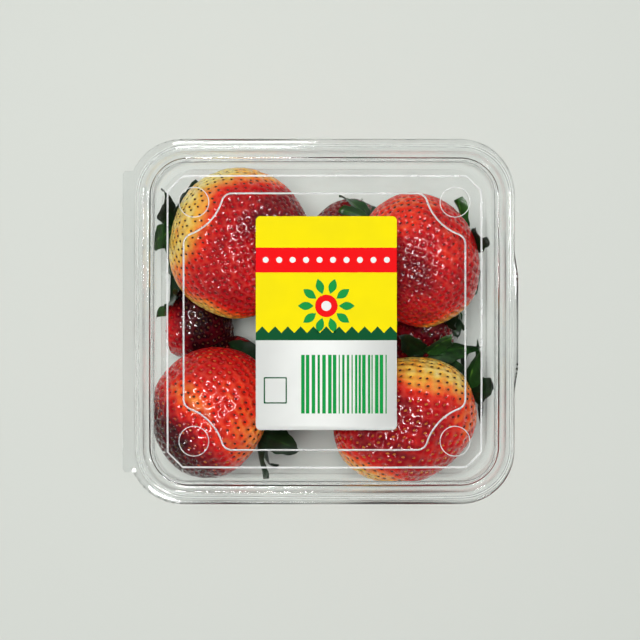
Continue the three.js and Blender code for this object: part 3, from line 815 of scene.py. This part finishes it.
def seed_places(count, seed):
    """t and phi of seeds spread over a berry along a golden-angle spiral, each a little off its place."""
    rng = np.random.default_rng(seed)
    step = 2 / math.sqrt(count)
    k = np.arange(count)
    t = np.arccos(1 - 2 * (k + 0.5) / count)
    phi = (k * np.pi * (3 - math.sqrt(5))) % (2 * np.pi)
    t = t + rng.uniform(-SEED["off"], SEED["off"], count) * step
    phi = phi + rng.uniform(-SEED["off"], SEED["off"], count) * step / np.maximum(np.sin(t), 0.1)
    return np.clip(t, 0.02, np.pi - 0.02), phi


def nearest_two(points, places, most=4000):
    """Distance from each point to the nearest and to the second nearest place, in blocks of points."""
    found = []
    squares = (places ** 2).sum(1)
    for block in np.array_split(points, max(len(points) // most, 1)):
        far = (block ** 2).sum(1)[:, None] + squares - 2 * block @ places.T
        near = np.partition(far, 1, axis=1)[:, :2]
        found.append(np.sqrt(np.maximum(near, 0)))
    return np.concatenate(found)


def ripeness(berry, way):
    """Ripeness from 0 to 1 by direction from the berry's middle: its level, its patches and soft blotches."""
    level = np.full(way.shape[:-1], berry["ripe"])
    for towards, start, full, amount in berry["patches"]:
        level = level + amount * smoothstep(start, full, way @ unit(towards))
    return np.clip(level + layered(way, name_seed(berry) + BLOTCH_DRAW, BLOTCHES), 0, 1)


def ellipsoid_area(a, b, c, power=1.6):
    """Nearly the area of an ellipsoid: 4 pi times the power mean of the products of its half sizes."""
    mean = (a * b) ** power / 3 + (a * c) ** power / 3 + (b * c) ** power / 3
    return 4 * np.pi * mean ** (1 / power)


def build_berry(berry, settings, skin, seed_coat):
    """Skin with pits and one mesh of seeds for a berry; returns both pieces.

    A pit is deepest at its seed and rises as two bell curves of the distance from the seed, plus a
    smooth slope that ends halfway to the next seed.
    """
    berry = {**DEFAULTS, **berry}
    large = berry["half"][0] > LARGE_HALF
    rows = settings.skin_rows if large else int(settings.skin_rows * SMALL_ROWS)
    columns = rows * 2
    spacing = settings.seed_spacing / MM * berry["spacing"]
    depth = settings.pit_depth / MM * (1 if large else SMALL_PITS) * berry["pits"]
    t = np.linspace(0, np.pi, rows + 2)
    phi = np.linspace(0, 2 * np.pi, columns, endpoint=False)
    grid_t, grid_phi = np.meshgrid(t[1:-1], phi, indexing="ij")
    all_t = np.concatenate((grid_t.ravel(), (0, np.pi)))
    all_phi = np.concatenate((grid_phi.ravel(), (0, 0)))
    base, normal = berry_skin(berry, all_t, all_phi)
    count = int(ellipsoid_area(*berry["half"]) / (SEED["area"] * spacing ** 2))
    seed_base, seed_normal = berry_skin(berry, *seed_places(count, name_seed(berry)))
    near = nearest_two(base, seed_base)
    share = near[:, 0] / np.maximum(near.sum(1) / 2, 1e-6)
    hole = np.exp(-((near[:, 0] / (PIT["hole"] * spacing)) ** 2))
    bowl = PIT["round"] * np.exp(-((near[:, 0] / (PIT["bowl"] * spacing)) ** 2))
    bowl += (1 - PIT["round"]) * (1 - smoothstep(0.0, 1.0, share))
    relief = -depth * (PIT["bowl_depth"] * bowl + (1 - PIT["bowl_depth"]) * hole)
    points = press_apart(berry, keep_inside(base + normal * relief[:, None]))
    middle = np.array(berry["at"])
    # pit and hole also set the painted shade in the pits and the painted highlight on the ridges in the skin
    # colour.
    piece = mesh_piece(
        "berry_" + berry["name"], points, outward(points, capped_faces(rows, columns)), [skin],
        {"ripeness": ripeness(berry, unit(base - middle)), "pit": bowl, "hole": hole},
    )
    placed = press_apart(berry, keep_inside(seed_base - seed_normal * depth * SEED["sunk"]))
    ripe = ripeness(berry, unit(seed_base - middle))
    return piece, build_seeds(berry, placed, seed_normal, ripe, settings, seed_coat)


def build_seeds(berry, places, normals, ripe, settings, seed_coat):
    """One mesh of tear-shaped seeds, each a small egg lying along the berry, pointed towards its tip.

    They are dark on pale and on maroon skin, and from golden to red on red skin.
    """
    rng = np.random.default_rng(name_seed(berry) + SEED_DRAW)
    rows, columns = SEED_GRID
    t = np.linspace(0, np.pi, rows + 2)[1:-1]
    phi = np.linspace(0, 2 * np.pi, columns, endpoint=False)
    grid_t, grid_phi = np.meshgrid(t, phi, indexing="ij")
    thin = np.sin(grid_t) * (1 + SEED["taper"] * np.cos(grid_t))
    along = np.append(-np.cos(grid_t), (-1, 1))
    across = np.append(thin * np.cos(grid_phi), (0, 0)) * SEED["width"]
    up = np.append(thin * np.sin(grid_phi), (0, 0)) * SEED["height"]
    tip = berry_axes(berry)[:, 1]
    forward = tip - normals * (normals @ tip)[:, None]
    forward += SEED["lean"] * rng.normal(size=forward.shape)
    forward = unit(forward - normals * (forward * normals).sum(1, keepdims=True))
    ways = np.stack((forward, np.cross(normals, forward), normals), 1)
    half = settings.seed_length / MM / 2
    half = half * rng.uniform(1 - SEED["vary"], 1 + SEED["vary"], (len(places), 1, 1))
    points = (places[:, None] + half * (np.stack((along, across, up), -1) @ ways)).reshape(-1, 3)
    each = rows * columns + 2
    starts = (np.arange(len(places)) * each)[:, None, None]
    faces = [(part[None] + starts).reshape(-1, part.shape[1]) for part in capped_faces(rows, columns)]
    dark = 1 - smoothstep(*PALE_SKIN, ripe) + smoothstep(*MAROON_SKIN, ripe)
    red = SEED_TONE["red"] * (1 - dark) * (1 - berry["gold"])
    tone = SEED_TONE["uneven"] * rng.uniform(size=len(places)) + SEED_TONE["dark"] * dark + red
    tones = {"tone": np.repeat(np.clip(tone, 0, 1), each)}
    return mesh_piece("seeds_" + berry["name"], points, outward(points, faces), [seed_coat], tones)


def leaf_points(berry, index, t, section):
    """Closed thin leaf of the crown as a ring grid with its two ends.

    Its middle rib is an arc that starts at the stalk, leaning back from the berry by lift, and turns
    further back by curl on its way out. Its half width rises and falls as a sine pulled towards the
    stalk, its section is a thin lens folded along the middle rib, and its edges wave.
    """
    size = berry["leaf"] * (1 + LEAF_UNEVEN["length"] * math.sin(LEAF_PACE["length"] * index))
    width = np.sin(np.pi * (t * LEAF_OUTLINE["end"]) ** LEAF_OUTLINE["pull"]) ** LEAF_OUTLINE["fullness"]
    half = size * LEAF_WIDTH / 2 * (LEAF_START + width)
    half = half * (1 - LEAF_TIP["narrower"] * smoothstep(LEAF_TIP["from"], 1.0, t))
    half = half * (1 + LEAF_EDGE["height"] * np.sin(LEAF_EDGE["pace"] * t + index))
    spread = np.cos(section)
    thick = LEAF_BLADE["thick"] * (1 - LEAF_BLADE["thinner"] * t) * np.sin(section)
    fold = LEAF_BLADE["fold"] * half * np.abs(spread) ** LEAF_BLADE["fold_power"]
    ripple = np.sin(LEAF_WAVE["pace"] * t + LEAF_WAVE["shift"] * index)
    wave = LEAF_WAVE["height"] * size * ripple * spread * (LEAF_WAVE["least"] + t)
    start = berry["lift"] + LEAF_UNEVEN["lift"] * math.sin(LEAF_PACE["lift"] * index)
    curl = berry["curl"]
    bend = start + curl * t
    lean = thick - fold + wave
    run = size * (np.sin(bend) - math.sin(start)) / curl
    rise = size * (math.cos(start) - np.cos(bend)) / curl
    out = LEAF_ROOT["out"] + run + lean * np.sin(bend)
    axial = LEAF_ROOT["in"] - berry["half"][0] - rise + lean * np.cos(bend)
    local = np.stack(np.broadcast_arrays(spread * half, axial, out), -1)
    points = np.concatenate((local.reshape(-1, 3), (local[0].mean(0), local[-1].mean(0))))
    place = index + LEAF_UNEVEN["turn"] * math.sin(LEAF_PACE["turn"] * index)
    turn = berry["turn"] + 2 * np.pi * place / berry["leaves"]
    spin = np.array((
        (math.cos(turn), 0, math.sin(turn)), (0, 1, 0), (-math.sin(turn), 0, math.cos(turn)),
    ))
    return points @ spin.T @ berry_axes(berry).T + np.array(berry["at"])


def build_leaves(berry, blade):
    """All leaves of a berry's crown as one piece."""
    rows, columns = LEAF_GRID
    t = np.linspace(0.01, 0.99, rows)[:, None]
    section = np.linspace(0, 2 * np.pi, columns, endpoint=False)
    points, faces = [], []
    for index in range(berry["leaves"]):
        one = keep_inside(leaf_points(berry, index, t, section))
        faces += [block + index * len(one) for block in outward(one, capped_faces(rows, columns))]
        points.append(one)
    across = np.append(np.tile(np.cos(section), rows), (0, 0))
    # Each leaf gets a tone of its own, from dark to pale; the dark end is partly painted shade.
    tone = np.arange(berry["leaves"]) / berry["leaves"]
    return mesh_piece("leaves_" + berry["name"], np.concatenate(points), faces, [blade], {
        "across": np.tile(across, len(tone)), "tone": np.repeat(tone, len(across)),
    })


class PUNNET_OT_berries(bpy.types.Operator):
    """Fourteen strawberries with pits and seeds"""

    bl_idname = "punnet.berries"
    bl_label = "Strawberries"

    def execute(self, context):
        settings = context.scene.punnet
        skin, seed_coat = berry_material(), seed_material()
        for berry in BERRIES:
            piece, seeds = build_berry(berry, settings, skin, seed_coat)
            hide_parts("berries")
            for one in (piece, seeds):
                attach(one, "base")
        return {"FINISHED"}


class PUNNET_OT_leaves(bpy.types.Operator):
    """Crowns of green leaves"""

    bl_idname = "punnet.leaves"
    bl_label = "Leaves"

    def execute(self, context):
        blade = leaf_material()
        for berry in BERRIES:
            if berry["leaves"]:
                piece = build_leaves(berry, blade)
                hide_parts("berries")
                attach(piece, "base")
        return {"FINISHED"}


# Label

LABEL_LOW, LABEL_HIGH = (np.array(corner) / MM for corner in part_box("label"))
LABEL_MIDDLE = (LABEL_LOW + LABEL_HIGH) / 2
LABEL_HALF = (LABEL_HIGH - LABEL_LOW) / 2


def box_outline(x0, y0, x1, y1, radius, steps=6):
    """Rectangle with round corners."""
    middles = (
        (x1 - radius, y1 - radius), (x0 + radius, y1 - radius),
        (x0 + radius, y0 + radius), (x1 - radius, y0 + radius),
    )
    quarter = np.pi / 2
    return np.concatenate([
        arc(*middle, radius, k * quarter, (k + 1) * quarter, steps) for k, middle in enumerate(middles)
    ])


def lens_outline(x, y, turn, start, end, width, steps=12):
    """Pointed leaf shape along a direction, from start to end away from a middle point."""
    s = np.linspace(0, 1, steps + 1)
    side = width * np.sin(np.pi * s)
    along = start + (end - start) * s
    edge = np.concatenate((np.stack((along, side), -1), np.stack((along, -side), -1)[1:-1][::-1]))
    c, n = math.cos(turn), math.sin(turn)
    return edge @ np.array(((c, n), (-n, c))) + (x, y)


def saw_outline(a, foot):
    """Strip from edge to edge of the label whose top is a row of teeth."""
    x = np.linspace(-a, a, SAW["points"])
    y = foot + SAW["foot"] + SAW["tooth"] * (np.arange(SAW["points"]) % 2)
    return np.concatenate((np.stack((x, y), -1), ((a, foot), (-a, foot))))[::-1]


def bar_outlines(a, low, high):
    """Upright bars of uneven width and distance, up to a margin from the label's edge."""
    rng = np.random.default_rng(BARS["draw"])
    widths = rng.choice(BAR_WIDTHS, BARS["count"]) * BARS["swell"]
    steps = widths[:-1] + rng.choice(BAR_WIDTHS[:2], BARS["count"] - 1)
    starts = BARS["from"] + np.cumsum(np.concatenate(([0], steps)))
    shown = starts + widths < a - BARS["in"]
    return [
        [box_outline(x, low, x + width, high, SHARP, 1)] for x, width in zip(starts[shown], widths[shown])
    ]


def print_fields():
    """The label's printed fields from the ground up: name, ink, layer above the paper, outline groups."""
    a, b = LABEL_HALF[:2]
    split = b * GROUND_END
    hub, count = ROSETTE["at"], ROSETTE["count"]
    dots = np.linspace(-a + DOTS["in"], a - DOTS["in"], DOTS["count"])
    turns = np.arange(count) * 2 * np.pi / count
    line = FRAME["line"]
    sides = np.array((FRAME["left"] - a, FRAME["low"] - b, FRAME["right"] - a, FRAME["high"] - b))
    hollow = sides + (line, line, -line, -line)
    return (
        ("ground", "yellow", 1, [[box_outline(-a, split, a, b, LABEL_CORNER)]]),
        ("band", "red", 2, [[box_outline(-a, b - BAND["bottom"], a, b - BAND["top"], SHARP)]]),
        ("dots", "white", 3, [[circle(x, b - DOTS["down"], DOTS["radius"], 20)] for x in dots]),
        ("leaves", "green", 2, [[lens_outline(*hub, turn, *ROSETTE_LEAF.values())] for turn in turns]),
        ("disc", "red", 2, [[circle(*hub, ROSETTE["disc"])]]),
        ("hub", "white", 3, [[circle(*hub, ROSETTE["hub"])]]),
        ("saw", "dark_green", 2, [[saw_outline(a, split)]]),
        ("bars", "green", 1, bar_outlines(a, BARS["low"] - b, split - BARS["below"])),
        ("frame", "dark_green", 1, [[
            box_outline(*box, radius) for box, radius in zip((sides, hollow), FRAME["radii"])
        ]]),
    )


def flat_piece(name, groups, height, material, smooth=False):
    """Flat sheets between groups of outlines, drawn about the label's middle."""
    points, faces, _ = join([plate(group, height) for group in groups])
    return mesh_piece(name, points + np.array((*LABEL_MIDDLE[:2], 0)), faces, [material], smooth=smooth)


class PUNNET_OT_label(bpy.types.Operator):
    """Printed paper label: yellow and red fields with a leaf rosette over white with green bars"""

    bl_idname = "punnet.label"
    bl_label = "Label"

    def execute(self, context):
        settings = context.scene.punnet
        inks = {
            name: ink_material("label_" + name, getattr(settings, name))
            for name in ("white", "yellow", "red", "green", "dark_green")
        }
        a, b = LABEL_HALF[:2]
        outline = box_outline(-a, -b, a, b, LABEL_CORNER)
        paper = flat_piece("label_paper", [[outline]], LABEL_LOW[2] + PAPER / 2, inks["white"], smooth=True)
        thicken(paper, PAPER * MM)
        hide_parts("label")
        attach(paper, "lid")
        for name, ink, layer, groups in print_fields():
            field = flat_piece("label_" + name, groups, LABEL_LOW[2] + PAPER + INK * layer, inks[ink])
            thicken(field, INK * MM, offset=-1)
            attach(field, "lid")
        return {"FINISHED"}


# Materials

def node(tree, kind, values=None, **settings):
    """New shader node with its settings and the values of its sockets."""
    made = tree.nodes.new(kind)
    for key, value in settings.items():
        setattr(made, key, value)
    for socket, value in (values or {}).items():
        made.inputs[socket].default_value = value
    return made


def wire(tree, *links):
    """Links, each given as a node and its output, then a node and its input."""
    for source, output, target, entry in links:
        tree.links.new(source.outputs[output], target.inputs[entry])


def principled(name, values):
    """Material that is one Principled shader with the given values."""
    material = bpy.data.materials.new(name)
    material.use_nodes = True
    tree = material.node_tree
    tree.nodes.clear()
    shader = node(tree, "ShaderNodeBsdfPrincipled", values)
    wire(tree, (shader, 0, node(tree, "ShaderNodeOutputMaterial"), "Surface"))
    return material, tree, shader


def ramp(tree, stops):
    """Colour ramp with (position, colour) stops."""
    made = node(tree, "ShaderNodeValToRGB")
    elements = made.color_ramp.elements
    elements[0].position, elements[0].color = stops[0]
    elements[1].position, elements[1].color = stops[-1]
    for position, colour in stops[1:-1]:
        elements.new(position).color = colour
    return made


def grain_group():
    """Shared fine unevenness: two sizes of noise on object coordinates, as a height and as a mask."""
    found = bpy.data.node_groups.get("Fine unevenness")
    if found:
        return found
    group = bpy.data.node_groups.new("Fine unevenness", "ShaderNodeTree")
    for name, way in (("Scale", "INPUT"), ("Height", "OUTPUT"), ("Mask", "OUTPUT")):
        group.interface.new_socket(name, in_out=way, socket_type="NodeSocketFloat")
    entry, leave = node(group, "NodeGroupInput"), node(group, "NodeGroupOutput")
    place = node(group, "ShaderNodeTexCoord")
    fine = node(group, "ShaderNodeTexNoise", {"Detail": 3.0, "Roughness": 0.55})
    large = node(group, "ShaderNodeTexNoise", {"Detail": 2.0})
    slower = node(group, "ShaderNodeMath", {1: 0.23}, operation="MULTIPLY")
    mask = node(group, "ShaderNodeMapRange", {"From Min": 0.35, "From Max": 0.65})
    wire(
        group,
        (place, "Object", fine, "Vector"), (entry, "Scale", fine, "Scale"), (fine, "Fac", leave, "Height"),
        (place, "Object", large, "Vector"), (entry, "Scale", slower, 0), (slower, 0, large, "Scale"),
        (large, "Fac", mask, "Value"), (mask, "Result", leave, "Mask"),
    )
    return group


def uneven_face(tree, shader, scale, rough, relief=None, coated=False):
    """Shared unevenness at a scale: roughness between two values, and relief of a strength and a depth."""
    uneven = node(tree, "ShaderNodeGroup", {"Scale": scale}, node_tree=grain_group())
    spread = node(tree, "ShaderNodeMapRange", {"To Min": rough[0], "To Max": rough[1]})
    wire(tree, (uneven, "Mask", spread, "Value"), (spread, "Result", shader, "Roughness"))
    if relief:
        bump = node(tree, "ShaderNodeBump", {"Strength": relief[0], "Distance": relief[1]})
        wire(tree, (uneven, "Height", bump, "Height"), (bump, "Normal", shader, "Normal"))
        if coated:
            wire(tree, (bump, "Normal", shader, "Coat Normal"))
    return uneven


def lets_light_through(tree, shader):
    """Shader seen by the camera and through other film; light and all reflections pass straight on."""
    path = node(tree, "ShaderNodeLightPath")
    either = node(tree, "ShaderNodeMath", operation="MAXIMUM")
    clear = node(tree, "ShaderNodeBsdfTransparent")
    mix = node(tree, "ShaderNodeMixShader")
    wire(
        tree,
        (path, "Is Shadow Ray", either, 0), (path, "Is Reflection Ray", either, 1), (either, 0, mix, "Fac"),
        (shader, 0, mix, 1), (clear, 0, mix, 2), (mix, 0, tree.get_output_node("ALL"), "Surface"),
    )


def clear_plastic(settings, name):
    """Clear formed film of a kind in FILMS, with a faint ripple, slight scuffs and a glossy face."""
    found = bpy.data.materials.get(name)
    if found:
        return found
    ior, coat = FILMS[name]
    material, tree, shader = principled(name, {
        "Base Color": settings.plastic, "IOR": ior, "Transmission Weight": 1.0, "Coat Weight": coat,
        "Coat Roughness": 0.02,
    })
    uneven_face(tree, shader, 60, (0.0, 0.02), (0.1, 0.0004), coated=True)
    lets_light_through(tree, shader)
    return material


def whitened_highlit_film():
    """Film whitened where it was drawn over an edge, and made whiter still as a painted highlight of the
    bend.
    """
    # White base colour: partly the real whitening of stretched film, partly a painted highlight along the
    # bend.
    material, tree, shader = principled("crease_highlight_film", {
        "Base Color": srgb(252, 253, 252), "IOR": 1.1, "Transmission Weight": 0.5,
    })
    uneven_face(tree, shader, 500, (0.15, 0.3))
    return material


def berry_material():
    """Strawberry skin: pale yellow to maroon by ripeness, darker in the pits as painted shade, paler on the
    ridges between them as a painted highlight, wet.
    """
    material, tree, shader = principled("strawberry_skin", {
        "Subsurface Weight": 0.06, "Subsurface Radius": (1.0, 0.25, 0.12), "Subsurface Scale": 0.001,
        "Specular IOR Level": 0.04, "Coat Weight": 1.0, "Coat Roughness": 0.1, "Coat IOR": 1.52, "IOR": 1.4,
    })
    uneven = uneven_face(tree, shader, 700, (0.35, 0.55), (0.5, 0.0002), coated=True)
    ripe, pit, hole = (
        node(tree, "ShaderNodeAttribute", attribute_name=name) for name in ("ripeness", "pit", "hole")
    )
    spots = node(tree, "ShaderNodeMath", {1: 0.12, 2: -0.06}, operation="MULTIPLY_ADD")
    # Painted shade: the colour is taken riper, so darker, deep in the pits and darker still in their holes.
    pit_shade = node(tree, "ShaderNodeMath", {1: 0.04}, operation="MULTIPLY_ADD")
    deepest = node(tree, "ShaderNodeMath", {1: 0.05}, operation="MULTIPLY_ADD")
    total = node(tree, "ShaderNodeMath", operation="ADD")
    colour = ramp(tree, [
        (0.0, srgb(230, 216, 128)), (0.12, srgb(230, 178, 66)), (0.25, srgb(234, 118, 46)),
        (0.38, srgb(218, 42, 20)), (0.54, srgb(184, 7, 16)), (0.7, srgb(134, 2, 16)), (0.86, srgb(78, 2, 14)),
        (1.0, srgb(26, 1, 7)),
    ])
    # Painted highlight: between the pits the colour is mixed towards a pale salmon, less on riper skin.
    ridge_highlight = node(tree, "ShaderNodeMapRange", {"From Max": 0.4, "To Min": 0.14, "To Max": 0.0})
    unripe = node(tree, "ShaderNodeMapRange", {
        "From Min": 0.5, "From Max": 0.8, "To Min": 1.0, "To Max": 0.15,
    })
    amount = node(tree, "ShaderNodeMath", operation="MULTIPLY")
    paler = node(tree, "ShaderNodeMix", {7: srgb(236, 128, 98)}, data_type="RGBA")
    wire(
        tree,
        (uneven, "Height", spots, 0), (spots, 0, total, 1), (pit, "Fac", pit_shade, 0), (ripe, "Fac", pit_shade, 2),
        (hole, "Fac", deepest, 0), (pit_shade, 0, deepest, 2), (deepest, 0, total, 0), (total, 0, colour, "Fac"),
        (pit, "Fac", ridge_highlight, "Value"), (ripe, "Fac", unripe, "Value"), (ridge_highlight, "Result", amount, 0),
        (unripe, "Result", amount, 1), (amount, 0, paler, 0), (colour, "Color", paler, 6),
        (paler, 2, shader, "Base Color"),
    )
    return material


def seed_material():
    """Seeds from golden through red to dark olive brown."""
    material, tree, shader = principled("strawberry_seeds", {"Specular IOR Level": 0.1, "Coat Weight": 0.2})
    uneven_face(tree, shader, 1500, (0.3, 0.5))
    tone = node(tree, "ShaderNodeAttribute", attribute_name="tone")
    colour = ramp(tree, [
        (0.0, srgb(226, 168, 60)), (0.3, srgb(184, 112, 40)), (0.5, srgb(166, 44, 28)),
        (0.68, srgb(104, 24, 18)), (0.85, srgb(76, 44, 20)), (1.0, srgb(74, 50, 20)),
    ])
    wire(tree, (tone, "Fac", colour, "Fac"), (colour, "Color", shader, "Base Color"))
    return material


def leaf_material():
    """Leaf green, uneven from leaf to leaf and over each, with a paler middle rib and fine relief; its
    darkest greens, near black, are partly painted shade.
    """
    material, tree, shader = principled("strawberry_leaves", {
        "Subsurface Weight": 0.08, "Subsurface Radius": (0.4, 1.0, 0.2), "Subsurface Scale": 0.001,
        "IOR": 1.42,
    })
    uneven = uneven_face(tree, shader, 400, (0.32, 0.5), (0.4, 0.0003))
    tone = node(tree, "ShaderNodeAttribute", attribute_name="tone")
    across = node(tree, "ShaderNodeAttribute", attribute_name="across")
    size = node(tree, "ShaderNodeMath", operation="ABSOLUTE")
    rib = node(tree, "ShaderNodeMapRange", {"From Max": 0.16, "To Min": 1.0, "To Max": 0.0})
    soft = node(tree, "ShaderNodeMath", {1: 0.3}, operation="MULTIPLY")
    mixed = node(tree, "ShaderNodeMath", {1: 0.55}, operation="MULTIPLY_ADD")
    add = node(tree, "ShaderNodeMath", operation="ADD")
    spread = node(tree, "ShaderNodeMath", {1: 0.85, 2: -0.2}, operation="MULTIPLY_ADD")
    # Greens from near black: the darkest ones are partly painted shade.
    colour = ramp(tree, [
        (0.0, srgb(8, 20, 8)), (0.4, srgb(16, 40, 15)), (0.75, srgb(36, 76, 28)), (1.0, srgb(100, 150, 56)),
    ])
    wire(
        tree,
        (across, "Fac", size, 0), (size, 0, rib, "Value"), (rib, "Result", soft, 0), (soft, 0, mixed, 2),
        (tone, "Fac", mixed, 0), (mixed, 0, add, 1), (uneven, "Height", add, 0), (add, 0, spread, 0),
        (spread, 0, colour, "Fac"), (colour, "Color", shader, "Base Color"),
    )
    return material


def ink_material(name, colour):
    """Satin printed paper in one colour, faintly mottled."""
    material, tree, shader = principled(name, {"Specular IOR Level": 0.02})
    uneven = uneven_face(tree, shader, 350, (0.5, 0.6))
    pale = (*(min(1.0, part * 1.05) for part in colour[:3]), 1.0)
    mix = node(tree, "ShaderNodeMix", {6: colour, 7: pale}, data_type="RGBA")
    wire(tree, (uneven, "Mask", mix, 0), (mix, 2, shader, "Base Color"))
    return material


# Stage

def area_light(name, at, size, power):
    """Square light at a place, turned towards the pack; sizes in metres and watts."""
    data = bpy.data.lights.new(name, "AREA")
    data.size = size
    data.energy = power
    light = bpy.data.objects.new(name, data)
    light.location = at
    light.rotation_euler = (Vector(LIGHTS_AIM) - Vector(at)).to_track_quat("-Z", "Y").to_euler()
    bpy.context.scene.collection.objects.link(light)
    return light


class PUNNET_OT_stage(bpy.types.Operator):
    """Pale floor, soft light and the camera above the pack"""

    bl_idname = "punnet.stage"
    bl_label = "Stage"

    def execute(self, context):
        settings = context.scene.punnet
        scene = context.scene
        side = FLOOR_HALF
        corners = np.array(((-side, -side, 0), (side, -side, 0), (side, side, 0), (-side, side, 0)))
        material, _, _ = principled("floor", {"Base Color": settings.floor, "Roughness": 0.8})
        mesh_piece("floor", corners, [np.array([[0, 1, 2, 3]])], [material])

        world = bpy.data.worlds.new("Studio")
        scene.world = world
        world.use_nodes = True
        tree = world.node_tree
        place = node(tree, "ShaderNodeTexCoord")
        parts = node(tree, "ShaderNodeSeparateXYZ")
        sky = ramp(tree, SKY)
        wire(
            tree,
            (place, "Generated", parts, 0), (parts, "Z", sky, "Fac"),
            (sky, "Color", tree.nodes["Background"], "Color"),
        )

        overhead = area_light("overhead", *OVERHEAD.values())
        overhead.visible_glossy = False
        overhead.visible_transmission = False
        for number, (turn, reach, size, power) in enumerate(LAMPS):
            at = (reach * math.cos(turn), reach * math.sin(turn), LAMP_Z)
            area_light(f"lamp_{number}", at, size, power).visible_diffuse = False

        data = bpy.data.cameras.new("camera")
        data.lens = CAMERA_LENS
        data.sensor_width = SENSOR_WIDTH
        data.clip_start = 0.01
        camera = bpy.data.objects.new("camera", data)
        camera.location = [value * MM for value in CAMERA_AT]
        scene.collection.objects.link(camera)
        scene.camera = camera
        scene.view_settings.view_transform = "Standard"
        return {"FINISHED"}


class PUNNET_PT_panel(bpy.types.Panel):
    bl_label = "Strawberry punnet"
    bl_idname = "PUNNET_PT_panel"
    bl_space_type = "VIEW_3D"
    bl_region_type = "UI"
    bl_category = "Punnet"

    def draw(self, context):
        for name in PunnetSettings.__annotations__:
            self.layout.prop(context.scene.punnet, name)
        for operator in OPERATORS:
            self.layout.operator(operator.bl_idname)


OPERATORS = (
    PUNNET_OT_stage,
    PUNNET_OT_tub,
    PUNNET_OT_berries,
    PUNNET_OT_leaves,
    PUNNET_OT_lid,
    PUNNET_OT_hinge,
    PUNNET_OT_label,
)
CLASSES = (PunnetSettings, *OPERATORS, PUNNET_PT_panel)


def register():
    for cls in CLASSES:
        bpy.utils.register_class(cls)
    bpy.types.Scene.punnet = PointerProperty(type=PunnetSettings)


def unregister():
    del bpy.types.Scene.punnet
    for cls in reversed(CLASSES):
        bpy.utils.unregister_class(cls)


def main():
    """Builds everything."""
    register()
    bpy.ops.punnet.stage()
    bpy.ops.punnet.tub()
    bpy.ops.punnet.berries()
    bpy.ops.punnet.leaves()
    bpy.ops.punnet.lid()
    bpy.ops.punnet.hinge()
    bpy.ops.punnet.label()


if __name__ == "__main__":
    main()
